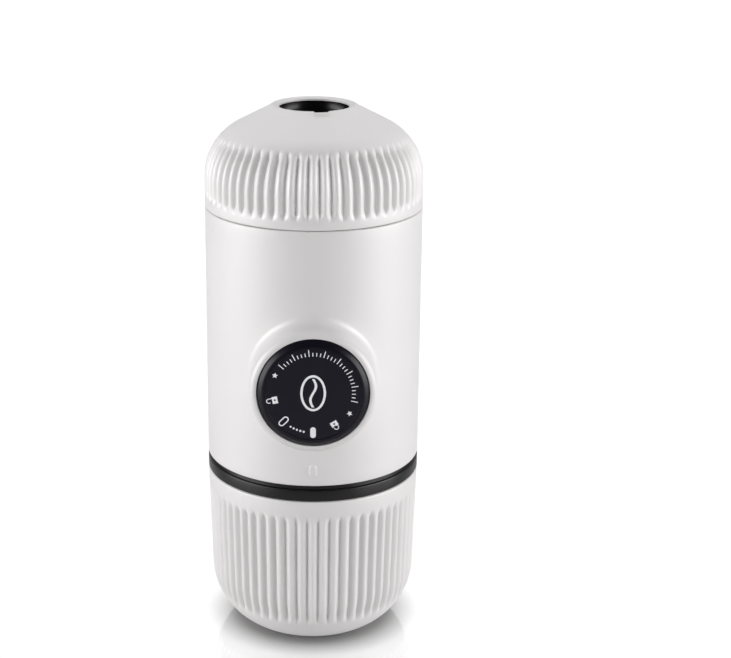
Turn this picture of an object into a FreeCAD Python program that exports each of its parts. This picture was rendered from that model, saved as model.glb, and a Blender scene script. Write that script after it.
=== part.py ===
import FreeCAD, Part
import math
import os

# Handheld manual espresso maker in its stored state, in millimetres.
# The cup stands on z = 0 and the round body is centred on the Z axis. The knob faces -Y.
# From below: cup over the water tank, tank collar, body with the pump, brewing head.

Vector = FreeCAD.Vector
Z_AXIS = Vector(0, 0, 1)
Y_AXIS = Vector(0, 1, 0)

# ---- outside of the body
BODY_R = 31.0
SHELL_WALL = 2.0
SHELL_HEIGHT = 74.0
PART_GAP = 0.2               # between the edges of neighbouring outer pieces
INDEX_WIDTH = 2.4
INDEX_HEIGHT = 4.0
INDEX_PROUD = 0.3
INDEX_ABOVE_EDGE = 4.6       # centre of the index mark above the shell's lower edge

# ---- cup
CUP_HEIGHT = 48.0
CUP_DRAFT = 0.9              # how far the straight side leans in from rim to shoulder
CUP_SHOULDER_Z = 15.0        # where the straight side ends and the round foot begins
CUP_CORNER_R = 18.4
CUP_WALL = 2.0
CUP_FLOOR = 2.2

# ---- grip ribs on cup and head: narrow grooves at an even pitch
RIB_COUNT = 60
GROOVE_WIDTH = 1.3
GROOVE_DEPTH = 0.7
GROOVE_RUNOUT = 1.6          # length over which a groove fades out
CUP_GROOVE_BELOW_RIM = 4.7
CUP_GROOVE_END = 25.0        # degrees round the foot
HEAD_GROOVE_ABOVE_EDGE = 3.8
HEAD_GROOVE_END = 43.0       # degrees round the shoulder

# ---- water tank
TANK_GAP = 1.5               # to the cup's wall
TANK_FLOOR_GAP = 0.5         # to the cup's floor
TANK_WALL = 1.8
COLLAR_HEIGHT = 4.5
COLLAR_STEP_HEIGHT = 1.1
COLLAR_STEP_DEPTH = 0.7
SPIGOT_HEIGHT = 8.0          # stretch under the collar that fits the cup
SPIGOT_CLEARANCE = 0.4
CUP_RING_WIRE_R = 0.9
SOCKET_WALL = 1.6
NECK_WALL = 1.8
NECK_HEIGHT = 9.0

# ---- screw threads of tank and head: round-shouldered ridges, two starts
THREAD_LEAD = 6.0
THREAD_STARTS = 2
THREAD_DEPTH = 0.9
THREAD_GAP = 0.3
RIDGE_ROOT = 1.3
RIDGE_CREST = 0.6
RIDGE_SINK = 0.3             # how far a ridge is rooted in its wall
TANK_RIDGE_TURNS = 0.9
HEAD_RIDGE_BELOW_EDGE = 4.5  # from the shell's upper edge to the ridges of the head's thread
RIDGE_MARGIN = 1.6           # from the open edge of a threaded wall to the ridge

# ---- fits
SLIP = 0.05                  # radial clearance of a running fit
SEAT = 0.02                  # radial clearance of pieces fixed in each other
LOOSE = 0.3                  # clearance of pieces that pass each other freely

# ---- chassis
SHELL_FIT = 0.2              # between chassis and shell
SEAL_THICKNESS = 1.5
SEAL_WIDTH = 2.2
DECK_THICKNESS = 2.5
POST_R = 2.6
POST_INSET = 1.5             # post inwards from the middle between guide sleeve and shell
PLATE_THICKNESS = 4.0
PLATE_CLEARANCE = 1.5        # group plate above the guide sleeve
SLEEVE_CLEARANCE = 1.1       # guide sleeve above the deck
RIB_FOOT_WIDTH = 20.0        # sleeve supports on the deck
RIB_FOOT_THICKNESS = 2.0
RIB_FOOT_HEIGHT = 5.0
RIB_FOOT_INSET = 2.8         # front foot inside the chassis's edge
REAR_FOOT_Y = -12.0

# ---- screws
SCREW_SHANK_R = 1.2
SCREW_HEAD_R = 2.1
SCREW_HEAD_HEIGHT = 1.4
SCREW_LENGTH = 9.0
SMALL_SHANK_R = 0.8
SMALL_HEAD_R = 1.05
SMALL_HEAD_HEIGHT = 1.0
SMALL_LENGTH = 6.0
HOLE_SPARE = 1.0             # depth of a blind hole beyond its screw

# ---- knob and guide
KNOB_R = 15.35
KNOB_PROUD = 9.0             # knob in front of the shell
KNOB_LENGTH = 33.0
KNOB_WALL = 1.5
KNOB_WEB = 4.0
KNOB_BEVEL_WIDTH = 2.3
KNOB_BEVEL_DEPTH = 1.2
KNOB_BEVEL_MIDDLE = (0.35, 0.3)  # its arc's middle, as shares of that width and depth
FACE_THICKNESS = 0.8
KNOB_CLEARANCE = 0.3
SLEEVE_WALL = 1.2
SLEEVE_OVERHANG = 1.0        # sleeve behind the knob's skirt
SLOT_SPARE = 2.0             # degrees of play beside a lug
COLLAR_FIT = 0.1             # guide sleeve in the shell's collar
BOSS_PROUD = 7.8             # collar in front of the shell
BOSS_WALL = 2.0
BOSS_LIP_GAP = 0.15          # collar round the knob
BOSS_BLEND_R = 2.2
BOSS_EDGE_R = 1.7
LUG_HALF_ANGLE = 9.0
LUG_THICKNESS = 2.0
LUG_HEIGHT = 1.4
LOCK_ANGLE = 45.0
STROKE = 20.0

# ---- pump
BARREL_BORE_R = 7.0
BARREL_WALL = 1.5
BARREL_BEHIND_PORT = 4.0
BUSH_MARGIN = 2.0            # piston to bush at full stroke
FLANGE_BEYOND_SPRING = 2.5
BARREL_FLANGE_THICKNESS = 2.0
EAR_CLEARANCE = 1.9          # from the ears' screws to the posts
EAR_R = 3.4
EAR_DROP = 5.0
CAP_THICKNESS = 2.5
CAP_SPIGOT = 1.5
BUSH_LENGTH = 4.0
ROD_R = 4.0
PISTON_LENGTH = 6.0
CAP_CLEARANCE = 3.5          # cap inside the shell
PISTON_CLEARANCE = 0.2
PISTON_RING_WIRE_R = 1.0
SPIGOT_R = 3.0
STEM_COLLAR_R = 6.0
STEM_COLLAR_THICKNESS = 1.5
SEAT_BEYOND_SPRING = 1.8
SPRING_SEAT_THICKNESS = 1.5
SPRING_SEAT_LIP = 2.0
SEAT_CLEARANCE = 1.4         # spring seat inside the knob's skirt
RETURN_WIRE_R = 0.6
RETURN_TURNS = 9
WASHER_R = 5.0
WASHER_THICKNESS = 0.8
AXIAL_PLAY = 0.1
CRADLE_CLEARANCE = 1.5       # cradle in front of the valve housings
CRADLE_BEYOND_EAR = 0.5
CRADLE_ABOVE_AXIS = 1.5
CRADLE_SCREW_INSET = 3.0
CRADLE_FOOT_HEIGHT = 8.0

# ---- valves
PORT_BEHIND_PISTON = 2.0     # both valves stand on one line behind the piston
PORT_BOSS_R = 5.5
PORT_BORE_R = 3.5
PORT_HOLE_R = 1.2
PORT_WALL = 1.0
WASHER_SEAL = 1.0
VALVE_SEAT_HEIGHT = 2.0
BALL_R = 2.0
BALL_FLOAT = 0.05
VALVE_SPRING_R = 1.3
VALVE_WIRE_R = 0.2
VALVE_TURNS = 5
FILTER_R = 4.0
FILTER_THICKNESS = 0.8
FILTER_HOLE_R = 0.4
FILTER_ROWS = ((0.35, 6), (0.72, 12))  # share of the radius, number of holes
AIR_VALVE_X = -12.0
AIR_VALVE_Y = -3.0
AIR_STEM_R = 1.4
AIR_BUTTON_R = 2.2
AIR_CAP_R = 5.0
AIR_CAP_THICKNESS = 1.2

# ---- group: what the water passes to reach the coffee
CHANNEL_R = 0.9
GROUP_OUTLET_Y = 8.0
RECESS_INSET = 1.5           # screen beyond the recess
SHOWER_RECESS_DEPTH = 0.8
SCREEN_CLEARANCE = 1.0       # screen inside the gasket
SCREEN_THICKNESS = 0.6
SCREEN_HOLE_R = 0.7
SCREEN_HOLE_INSET = 2.0      # outermost row of holes inside the recess
HOLE_ROWS = 4                # rows round the middle hole, in screen and basket
HOLES_MORE_PER_ROW = 6
GASKET_INSET = 1.0           # gasket reaches in under the basket's wall
GASKET_OUTSET = 0.4          # and out beyond its flange
GASKET_THICKNESS = 2.5
BASKET_INSET = 7.7           # basket inside the socket, room for the frame screws
BASKET_WALL = 0.6
BASKET_FLANGE_WIDTH = 2.1
BASKET_FLANGE_THICKNESS = 0.8
BASKET_HEADROOM = 1.5
BASKET_HOLE_R = 0.6
BASKET_HOLE_INSET = 3.5      # outermost row of holes inside the wall
SCOOP_CLEARANCE = 1.3        # scoop inside the basket
SCOOP_HEADROOM = 1.9         # tab under the basket's base
SCOOP_WALL = 1.0
SCOOP_TAB_HEIGHT = 3.6
SCOOP_TAB_LENGTH = 14.0
SCOOP_TAB_THICKNESS = 1.6

# ---- brewing head
HEAD_SIDE = 9.15             # straight side below the shoulder
HEAD_CORNER_R = 16.4
HEAD_SLOPE = 27.75           # degrees, cone above the shoulder
HEAD_RIM_R = 13.8
HEAD_RIM_RISE = 0.8
HEAD_CREST_R = 11.4          # highest line of the rolled rim
HEAD_RIM_ROLL = 0.7
HEAD_RIM_THICKNESS = 1.2
HEAD_WALL = 2.0
HEAD_TOP_THICKNESS = 3.0
HOLE_R = 9.9
NOTCH_WIDTH = 4.4
NOTCH_DEPTH = 2.3
NOTCH_ANGLE = 9.5            # degrees from the front, towards +X
HEAD_SEAL_THICKNESS = 1.6
HEAD_PLATE_THICKNESS = 2.5
HEAD_PLATE_FIT = 0.3
FUNNEL_WALL = 2.0            # inner tube that presses on the basket's flange
FUNNEL_CLEARANCE = 0.4
HEAD_BOSS_R = 2.4
HEAD_SCREWS = 3
SKIRT_SHORT = 4.0            # skirt ends above the group plate

# ---- outlet
OUTLET_HOLE_R = 3.0
CREMA_R = 4.0
CREMA_DISC = 1.2
CREMA_STEM_R = 1.2
CREMA_STEM_LENGTH = 6.5
CREMA_SPRING_R = 2.4
CREMA_WIRE_R = 0.25
CREMA_TURNS = 5
VALVE_HOUSE_R = 8.0
VALVE_HOUSE_WALL = 1.8
VALVE_HOUSE_HEIGHT = 9.0
NOZZLE_FLANGE_R = 12.4
NOZZLE_FLANGE_THICKNESS = 2.0
NOZZLE_R = 4.8
NOZZLE_BORE_R = 2.2
NOZZLE_DEPTH = 4.6           # spout below the rim of the hole
NOZZLE_CHAMFER = 0.4
NOZZLE_MOUTH = 1.2           # depth and width of the flare inside the spout
PASSAGE_R = 0.6              # four holes beside the stem's guide
NOZZLE_SCREW_RADIUS = 10.3
DISH_R = 12.4
DISH_MOUTH_R = 10.9
DISH_RIM = 1.2
DISH_WALL = 1.1
DISH_DEPTH = 4.6
DISH_COLLAR_R = 6.2
DISH_COLLAR_RISE = 1.6
NOZZLE_RING_WIRE_R = 0.6

# ---- heights that follow from the sizes above
COLLAR_Z = CUP_HEIGHT + PART_GAP
NECK_Z = COLLAR_Z + COLLAR_HEIGHT
SHELL_Z = NECK_Z + PART_GAP
SHELL_TOP = SHELL_Z + SHELL_HEIGHT
NECK_TOP = NECK_Z + NECK_HEIGHT
DECK_Z = NECK_TOP + SEAL_THICKNESS
DECK_TOP = DECK_Z + DECK_THICKNESS
CUP_SHOULDER_R = BODY_R - CUP_DRAFT
SLEEVE_IN_R = KNOB_R + KNOB_CLEARANCE
SLEEVE_R = SLEEVE_IN_R + SLEEVE_WALL
PUMP_Z = DECK_TOP + SLEEVE_CLEARANCE + SLEEVE_R
PLATE_Z = PUMP_Z + SLEEVE_R + PLATE_CLEARANCE
PLATE_TOP = PLATE_Z + PLATE_THICKNESS
CHASSIS_R = BODY_R - SHELL_WALL - SHELL_FIT
SOCKET_R = CHASSIS_R - SOCKET_WALL
NECK_R = SOCKET_R - THREAD_GAP - THREAD_DEPTH
POST_X = (SLEEVE_R + CHASSIS_R) / 2 - POST_INSET
BOSS_LIP_R = KNOB_R + BOSS_LIP_GAP
BOSS_R = BOSS_LIP_R + BOSS_WALL
KNOB_FRONT_Y = -BODY_R - KNOB_PROUD
BOSS_FRONT_Y = -BODY_R - BOSS_PROUD
FRONT_FOOT_Y = RIB_FOOT_INSET - CHASSIS_R
FLANGE_Z = PLATE_TOP + GASKET_THICKNESS
HEAD_Z = SHELL_TOP + PART_GAP
HEAD_PLATE_Z = SHELL_TOP + HEAD_SEAL_THICKNESS
HEAD_PLATE_TOP = HEAD_PLATE_Z + HEAD_PLATE_THICKNESS
SHOULDER_Z = HEAD_Z + HEAD_SIDE
BARREL_R = BARREL_BORE_R + BARREL_WALL
SPRING_SEAT_R = KNOB_R - KNOB_WALL - SEAT_CLEARANCE
RETURN_SPRING_R = SPRING_SEAT_R - SEAT_BEYOND_SPRING
BARREL_FLANGE_R = RETURN_SPRING_R + FLANGE_BEYOND_SPRING
EAR_X = POST_X - POST_R - EAR_CLEARANCE
CRADLE_WIDTH = 2 * (EAR_X + CRADLE_BEYOND_EAR)
CRADLE_SCREW_X = EAR_X - CRADLE_SCREW_INSET
BARREL_BACK_Y = BODY_R - SHELL_WALL - CAP_CLEARANCE - CAP_THICKNESS
PORT_Y = BARREL_BACK_Y - BARREL_BEHIND_PORT
PISTON_END_Y = PORT_Y - PORT_BEHIND_PISTON
CRADLE_BACK_Y = PORT_Y - PORT_BOSS_R - CRADLE_CLEARANCE
CRADLE_SCREW_Y = (BARREL_FLANGE_THICKNESS + CRADLE_BACK_Y) / 2
BUSH_BACK_Y = PISTON_END_Y - PISTON_LENGTH - STROKE - BUSH_MARGIN
BARREL_FRONT_Y = BUSH_BACK_Y - BUSH_LENGTH
WEB_FRONT_Y = KNOB_FRONT_Y + FACE_THICKNESS
WEB_BACK_Y = WEB_FRONT_Y + KNOB_WEB
KNOB_BACK_Y = KNOB_FRONT_Y + KNOB_LENGTH
SLEEVE_FRONT_Y = -BODY_R
SLEEVE_BACK_Y = KNOB_BACK_Y + SLEEVE_OVERHANG
COUNTERBORE_Y = WEB_FRONT_Y + WASHER_THICKNESS + SCREW_HEAD_HEIGHT
STEM_COLLAR_Y = WEB_BACK_Y + AXIAL_PLAY
SPRING_SEAT_Y = STEM_COLLAR_Y + STEM_COLLAR_THICKNESS
SPRING_FRONT_Y = SPRING_SEAT_Y + SPRING_SEAT_THICKNESS
CHAMBER_TOP = PUMP_Z + BARREL_BORE_R
CHAMBER_BOTTOM = PUMP_Z - BARREL_BORE_R
BASKET_R = SOCKET_R - BASKET_INSET
BASKET_FLANGE_R = BASKET_R + BASKET_FLANGE_WIDTH
GASKET_IN_R = BASKET_R - GASKET_INSET
GASKET_OUT_R = BASKET_FLANGE_R + GASKET_OUTSET
POST_RADIUS = (GASKET_OUT_R + SOCKET_R) / 2
POST_Y = math.sqrt(POST_RADIUS ** 2 - POST_X ** 2)
SCREEN_R = GASKET_IN_R - SCREEN_CLEARANCE
SHOWER_RECESS_R = SCREEN_R - RECESS_INSET
SCOOP_R = BASKET_R - BASKET_WALL - SCOOP_CLEARANCE
FUNNEL_IN_R = BASKET_R + FUNNEL_CLEARANCE
FUNNEL_R = FUNNEL_IN_R + FUNNEL_WALL
HEAD_SCREW_RADIUS = (FUNNEL_R + NECK_R - NECK_WALL) / 2


# ---- building blocks
def face_of(points, plane):
    """Flat face from (radius, height) corners; a corner may be an arc given as (mid, end)."""
    edges = []
    here = points[0]
    for step in list(points[1:]) + [points[0]]:
        if isinstance(step[0], tuple):
            edges.append(Part.Arc(plane(here), plane(step[0]), plane(step[1])).toShape())
            here = step[1]
        elif math.dist(here, step) > 1e-7:
            edges.append(Part.LineSegment(plane(here), plane(step)).toShape())
            here = step
    return Part.Face(Part.Wire(edges))


def upright(point):
    """Section point (r, z) beside the body's axis."""
    return Vector(point[0], 0, point[1])


def lying(point):
    """Section point (r, y) beside the pump's axis."""
    return Vector(0, point[1], PUMP_Z + point[0])


def lathe(points):
    """Solid turned about the body's axis from (r, z) corners."""
    return face_of(points, upright).revolve(Vector(0, 0, 0), Z_AXIS, 360)


def pump_lathe(points):
    """Solid turned about the pump's axis from (r, y) corners."""
    return face_of(points, lying).revolve(Vector(0, 0, PUMP_Z), Y_AXIS, 360)


def rod(radius, low, high, x=0.0, y=0.0):
    return Part.makeCylinder(radius, high - low, Vector(x, y, low), Z_AXIS)


def tube(outer, inner, low, high, x=0.0, y=0.0):
    return rod(outer, low, high, x, y).cut(rod(inner, low, high, x, y))


def pump_rod(radius, front, back):
    return Part.makeCylinder(radius, back - front, Vector(0, front, PUMP_Z), Y_AXIS)


def pump_tube(outer, inner, front, back):
    return pump_rod(outer, front, back).cut(pump_rod(inner, front, back))


def block(width, low_y, high_y, low_z, high_z):
    corner = Vector(-width / 2, low_y, low_z)
    return Part.makeBox(width, high_y - low_y, high_z - low_z, corner)


def ring(centre_r, wire_r, z):
    return Part.makeTorus(centre_r, wire_r, Vector(0, 0, z), Z_AXIS)


def turned(shape, degrees):
    copy = shape.copy()
    copy.rotate(Vector(0, 0, 0), Z_AXIS, degrees)
    return copy


def pump_turned(shape, degrees):
    """Positive turns as the knob does when it unlocks."""
    copy = shape.copy()
    copy.rotate(Vector(0, 0, PUMP_Z), Y_AXIS, -degrees)
    return copy


def around(shape, count, first=0.0):
    return [turned(shape, first + i * 360.0 / count) for i in range(count)]


def merged(first, others):
    return first.fuse(list(others)).removeSplitter()


def screw(head_r, head_height, shank_r, length, seat, direction):
    """Pan-head screw with a cross recess; seat is the centre of the face under the head."""
    head = Part.makeCylinder(head_r, head_height, seat, -direction)
    shank = Part.makeCylinder(shank_r, length, seat, direction)
    recess = Part.makeBox(head_r, head_r / 4, head_height, Vector(-head_r / 2, -head_r / 8, 0))
    second = turned(recess, 90)
    cross = recess.fuse(second)
    turn = FreeCAD.Rotation(Z_AXIS, -direction)
    cross.Placement = FreeCAD.Placement(seat - direction * (head_height / 2), turn)
    return head.fuse(shank).cut(cross)


def coil(mean_r, wire_r, length, turns):
    """Coil spring along Z from 0 to length, wire included."""
    rise = length - 2 * wire_r
    helix = Part.makeLongHelix(rise / turns, rise, mean_r)
    circle = Part.Wire([Part.makeCircle(wire_r, Vector(mean_r, 0, 0), Y_AXIS)])
    wire = Part.Wire(helix).makePipeShell([circle], True, True)
    wire.translate(Vector(0, 0, wire_r))
    return wire


def ridges(root_r, crest_r, low, turns, first):
    """Thread ridges on a wall of radius root_r, one for each start."""
    sink = RIDGE_SINK if crest_r > root_r else -RIDGE_SINK
    corners = [
        (root_r - sink, -RIDGE_ROOT / 2),
        (crest_r, -RIDGE_CREST / 2),
        (crest_r, RIDGE_CREST / 2),
        (root_r - sink, RIDGE_ROOT / 2),
    ]
    section = face_of(corners, upright).OuterWire
    helix = Part.makeLongHelix(THREAD_LEAD, THREAD_LEAD * turns, root_r)
    ridge = Part.Wire(helix).makePipeShell([section], True, True)
    ridge.translate(Vector(0, 0, low))
    return around(ridge, THREAD_STARTS, first)


# ---- outside forms shared by several pieces
def cup_taper():
    return math.atan((BODY_R - CUP_SHOULDER_R) / (CUP_HEIGHT - CUP_SHOULDER_Z))


def cup_centre():
    """Centre of the foot's rounding in section."""
    taper = cup_taper()
    return (
        CUP_SHOULDER_R - CUP_CORNER_R * math.cos(taper),
        CUP_SHOULDER_Z + CUP_CORNER_R * math.sin(taper),
    )


def cup_point(inset, angle):
    """Point on the foot's rounding, set in by inset, at an angle below the horizontal."""
    centre = cup_centre()
    radius = CUP_CORNER_R - inset
    return (centre[0] + radius * math.cos(angle), centre[1] - radius * math.sin(angle))


def cup_side_r(inset, z):
    """Radius of the straight side at height z."""
    low = cup_point(inset, cup_taper())
    return low[0] + (z - low[1]) * math.tan(cup_taper())


def cup_form(inset, floor, top):
    """Solid of the cup's outside, set in by inset and cut off at floor and top."""
    start = math.asin((cup_centre()[1] - floor) / (CUP_CORNER_R - inset))
    middle = (start + cup_taper()) / 2
    return lathe([
        (0, floor),
        cup_point(inset, start),
        (cup_point(inset, middle), cup_point(inset, cup_taper())),
        (cup_side_r(inset, top), top),
        (0, top),
    ])


def head_point(inset, degrees):
    """Point on the head's shoulder at an angle above the horizontal."""
    angle = math.radians(degrees)
    radius = HEAD_CORNER_R - inset
    centre_r = BODY_R - HEAD_CORNER_R
    return (centre_r + radius * math.cos(angle), SHOULDER_Z + radius * math.sin(angle))


def head_slope_z(inset, radius):
    """Height of the cone above the shoulder at a radius."""
    end = head_point(inset, 90 - HEAD_SLOPE)
    return end[1] + (end[0] - radius) * math.tan(math.radians(HEAD_SLOPE))


def head_top():
    return head_slope_z(0, HEAD_RIM_R) + HEAD_RIM_RISE


def groove_blades(face, first):
    """One thin blade for each groove between two ribs."""
    blade = face.extrude(Vector(0, GROOVE_WIDTH, 0))
    blade.translate(Vector(0, -GROOVE_WIDTH / 2, 0))
    return around(blade, RIB_COUNT, first)


# ---- cup
def drinking_cup():
    """Rounded cup with a ribbed grip, open at the top."""
    cup = cup_form(0, 0, CUP_HEIGHT).cut(cup_form(CUP_WALL, CUP_FLOOR, CUP_HEIGHT + CUP_WALL))
    top = CUP_HEIGHT - CUP_GROOVE_BELOW_RIM
    taper = cup_taper()
    end = math.radians(CUP_GROOVE_END)
    runout = end + GROOVE_RUNOUT / CUP_CORNER_R
    section = face_of([
        (cup_side_r(-GROOVE_DEPTH, top), top),
        (cup_side_r(GROOVE_DEPTH, top), top - GROOVE_RUNOUT),
        cup_point(GROOVE_DEPTH, taper),
        (cup_point(GROOVE_DEPTH, (taper + end) / 2), cup_point(GROOVE_DEPTH, end)),
        cup_point(-GROOVE_DEPTH, runout),
        (cup_point(-GROOVE_DEPTH, (taper + runout) / 2), cup_point(-GROOVE_DEPTH, taper)),
    ], upright)
    half_pitch = 180.0 / RIB_COUNT
    return cup.cut(groove_blades(section, -90 + half_pitch))


def cup_ring_z():
    return COLLAR_Z - SPIGOT_HEIGHT / 2


def cup_ring_r():
    """Centre radius of the ring that grips the cup's inner wall."""
    return cup_side_r(CUP_WALL, cup_ring_z()) - SLIP - CUP_RING_WIRE_R


def cup_o_ring():
    return ring(cup_ring_r(), CUP_RING_WIRE_R, cup_ring_z())


# ---- tank
def water_tank():
    """Tank with its collar, threaded neck and the stretch that carries the cup."""
    inset = CUP_WALL + TANK_GAP
    floor = CUP_FLOOR + TANK_FLOOR_GAP
    spigot_z = COLLAR_Z - SPIGOT_HEIGHT
    neck_in = NECK_R - NECK_WALL
    shell = cup_form(inset, floor, COLLAR_Z)
    fit = CUP_WALL + SPIGOT_CLEARANCE
    spigot = lathe([
        (0, spigot_z),
        (cup_side_r(fit, spigot_z), spigot_z),
        (cup_side_r(fit, COLLAR_Z), COLLAR_Z),
        (0, COLLAR_Z),
    ])
    step_z = NECK_Z - COLLAR_STEP_HEIGHT
    collar = rod(BODY_R, COLLAR_Z, step_z).fuse(rod(BODY_R - COLLAR_STEP_DEPTH, step_z, NECK_Z))
    neck = rod(NECK_R, NECK_Z, NECK_TOP)
    ridge_z = NECK_TOP - RIDGE_MARGIN - THREAD_LEAD * TANK_RIDGE_TURNS
    outside = shell.fuse([spigot, collar, neck])
    bowl = cup_form(inset + TANK_WALL, floor + TANK_WALL, spigot_z)
    mouth = rod(neck_in, spigot_z, NECK_TOP)
    hollow = bowl.fuse(mouth)
    groove_r = cup_ring_r() - CUP_RING_WIRE_R - SEAT
    groove_low = cup_ring_z() - CUP_RING_WIRE_R - SLIP
    groove_high = cup_ring_z() + CUP_RING_WIRE_R + SLIP
    groove = tube(BODY_R, groove_r, groove_low, groove_high)
    tank = outside.cut([hollow, groove])
    return merged(tank, ridges(NECK_R, NECK_R + THREAD_DEPTH, ridge_z, TANK_RIDGE_TURNS, 0))


def tank_seal():
    return tube(NECK_R, NECK_R - SEAL_WIDTH, NECK_TOP, DECK_Z)


# ---- body
def index_mark():
    """Raised upright mark with round ends, on the shell under the knob."""
    radius = INDEX_WIDTH / 2
    middle = SHELL_Z + INDEX_ABOVE_EDGE
    low = middle - INDEX_HEIGHT / 2 + radius
    high = middle + INDEX_HEIGHT / 2 - radius
    front = -BODY_R - INDEX_PROUD
    depth = INDEX_PROUD + SHELL_WALL / 2
    ends = [Part.makeCylinder(radius, depth, Vector(0, front, z), Y_AXIS) for z in (low, high)]
    return block(INDEX_WIDTH, front, front + depth, low, high).fuse(ends)


def body_shell():
    """White cylinder with the collar round the knob, blended in, and the index mark."""
    body = rod(BODY_R, SHELL_Z, SHELL_TOP).fuse(pump_rod(BOSS_R, BOSS_FRONT_Y, 0))
    front = [e for e in body.Edges if e.BoundBox.YMax < BOSS_FRONT_Y + BOSS_EDGE_R]
    body = body.makeFillet(BOSS_EDGE_R, front)
    seam = [e for e in body.Edges
            if -BODY_R - SLIP < e.BoundBox.YMin and e.BoundBox.YMax < 0 and e.BoundBox.XLength > BOSS_R]
    body = body.makeFillet(BOSS_BLEND_R, seam)
    inner = rod(BODY_R - SHELL_WALL, SHELL_Z, SHELL_TOP)
    lip_bore = pump_rod(BOSS_LIP_R, BOSS_FRONT_Y, 0)
    sleeve_bore = pump_rod(SLEEVE_R + COLLAR_FIT, SLEEVE_FRONT_Y, 0)
    return body.fuse(index_mark()).cut([inner, lip_bore, sleeve_bore])


def post_spots():
    return [(x, y) for x in (-POST_X, POST_X) for y in (-POST_Y, POST_Y)]


def lower_chassis():
    """Threaded socket for the tank, deck over the water and four posts."""
    socket = tube(CHASSIS_R, SOCKET_R, SHELL_Z, DECK_Z)
    deck = rod(CHASSIS_R, DECK_Z, DECK_TOP)
    posts = [rod(POST_R, DECK_TOP, PLATE_Z, x, y) for x, y in post_spots()]
    feet = []
    inside = rod(CHASSIS_R, DECK_TOP, DECK_TOP + RIB_FOOT_HEIGHT)
    for y in (FRONT_FOOT_Y, REAR_FOOT_Y):
        foot = block(RIB_FOOT_WIDTH, y - RIB_FOOT_THICKNESS / 2, y + RIB_FOOT_THICKNESS / 2,
                     DECK_TOP, DECK_TOP + RIB_FOOT_HEIGHT)
        feet.append(foot.common(inside).cut(pump_rod(SLEEVE_R + SEAT, -BODY_R, 0)))
    holes = [rod(SCREW_SHANK_R, PLATE_Z - SCREW_LENGTH, PLATE_Z, x, y) for x, y in post_spots()]
    holes.append(rod(PORT_HOLE_R, DECK_Z, DECK_TOP, 0, PORT_Y))
    holes.append(rod(AIR_STEM_R + SEAT, DECK_Z, DECK_TOP, AIR_VALVE_X, AIR_VALVE_Y))
    for x in (-CRADLE_SCREW_X, CRADLE_SCREW_X):
        holes.append(rod(SCREW_SHANK_R, DECK_TOP - DECK_THICKNESS / 2, DECK_TOP, x, CRADLE_SCREW_Y))
    chassis = socket.fuse([deck] + posts + feet).cut(holes)
    low = SHELL_Z + RIDGE_MARGIN
    half_pitch = 180.0 / THREAD_STARTS
    wall = ridges(SOCKET_R, SOCKET_R - THREAD_DEPTH, low, TANK_RIDGE_TURNS,
                  socket_phase(low, NECK_TOP - RIDGE_MARGIN, TANK_RIDGE_TURNS) + half_pitch)
    return merged(chassis, wall)


def socket_phase(low, male_top, turns):
    """Turn that puts a socket's ridges in line with the neck's ridges."""
    male_low = male_top - THREAD_LEAD * turns
    return (low - male_low) * 360.0 / THREAD_LEAD


def upper_chassis():
    """Group plate with the water channel, and the threaded socket for the head."""
    plate = rod(CHASSIS_R, PLATE_Z, PLATE_TOP)
    socket = tube(CHASSIS_R, SOCKET_R, PLATE_TOP, SHELL_TOP)
    recess_z = PLATE_TOP - SHOWER_RECESS_DEPTH
    channel_z = (PLATE_Z + recess_z) / 2
    recess = tube(SHOWER_RECESS_R, SCREW_HEAD_R, recess_z, PLATE_TOP)
    length = PORT_Y - GROUP_OUTLET_Y
    channel = Part.makeCylinder(CHANNEL_R, length, Vector(0, GROUP_OUTLET_Y, channel_z), Y_AXIS)
    cuts = [
        recess,
        channel,
        rod(CHANNEL_R, PLATE_Z, channel_z, 0, PORT_Y),
        rod(CHANNEL_R, channel_z, recess_z, 0, GROUP_OUTLET_Y),
        rod(SMALL_SHANK_R, PLATE_TOP - PLATE_THICKNESS / 2, PLATE_TOP),
    ]
    cuts += [rod(SCREW_SHANK_R + SLIP, PLATE_Z, PLATE_TOP, x, y) for x, y in post_spots()]
    chassis = plate.fuse(socket).cut(cuts)
    low = skirt_low() + RIDGE_MARGIN
    half_pitch = 180.0 / THREAD_STARTS
    wall = ridges(SOCKET_R, SOCKET_R - THREAD_DEPTH, low, head_ridge_turns(), half_pitch)
    return merged(chassis, wall)


def frame_screws():
    length = PLATE_THICKNESS + SCREW_LENGTH - HOLE_SPARE
    return Part.makeCompound([
        screw(SCREW_HEAD_R, SCREW_HEAD_HEIGHT, SCREW_SHANK_R - SEAT, length,
              Vector(x, y, PLATE_TOP), -Z_AXIS)
        for x, y in post_spots()
    ])


# ---- guide of the knob
def sleeve_slot():
    """Window in the guide sleeve in which one lug turns and slides."""
    side = LUG_HALF_ANGLE + SLOT_SPARE
    front = KNOB_BACK_Y - LUG_THICKNESS - STROKE - LOOSE
    outer = SLEEVE_R + SLEEVE_WALL
    inner = SLEEVE_IN_R - SLEEVE_WALL
    section = face_of([(inner, front), (outer, front), (outer, SLEEVE_BACK_Y),
                       (inner, SLEEVE_BACK_Y)], lying)
    slot = section.revolve(Vector(0, 0, PUMP_Z), Y_AXIS, LOCK_ANGLE + 2 * side)
    return pump_turned(slot, LOCK_ANGLE + side - 90)


def guide_sleeve():
    sleeve = pump_tube(SLEEVE_R, SLEEVE_IN_R, SLEEVE_FRONT_Y, SLEEVE_BACK_Y)
    slot = sleeve_slot()
    return sleeve.cut([slot, pump_turned(slot, 180)])


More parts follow.
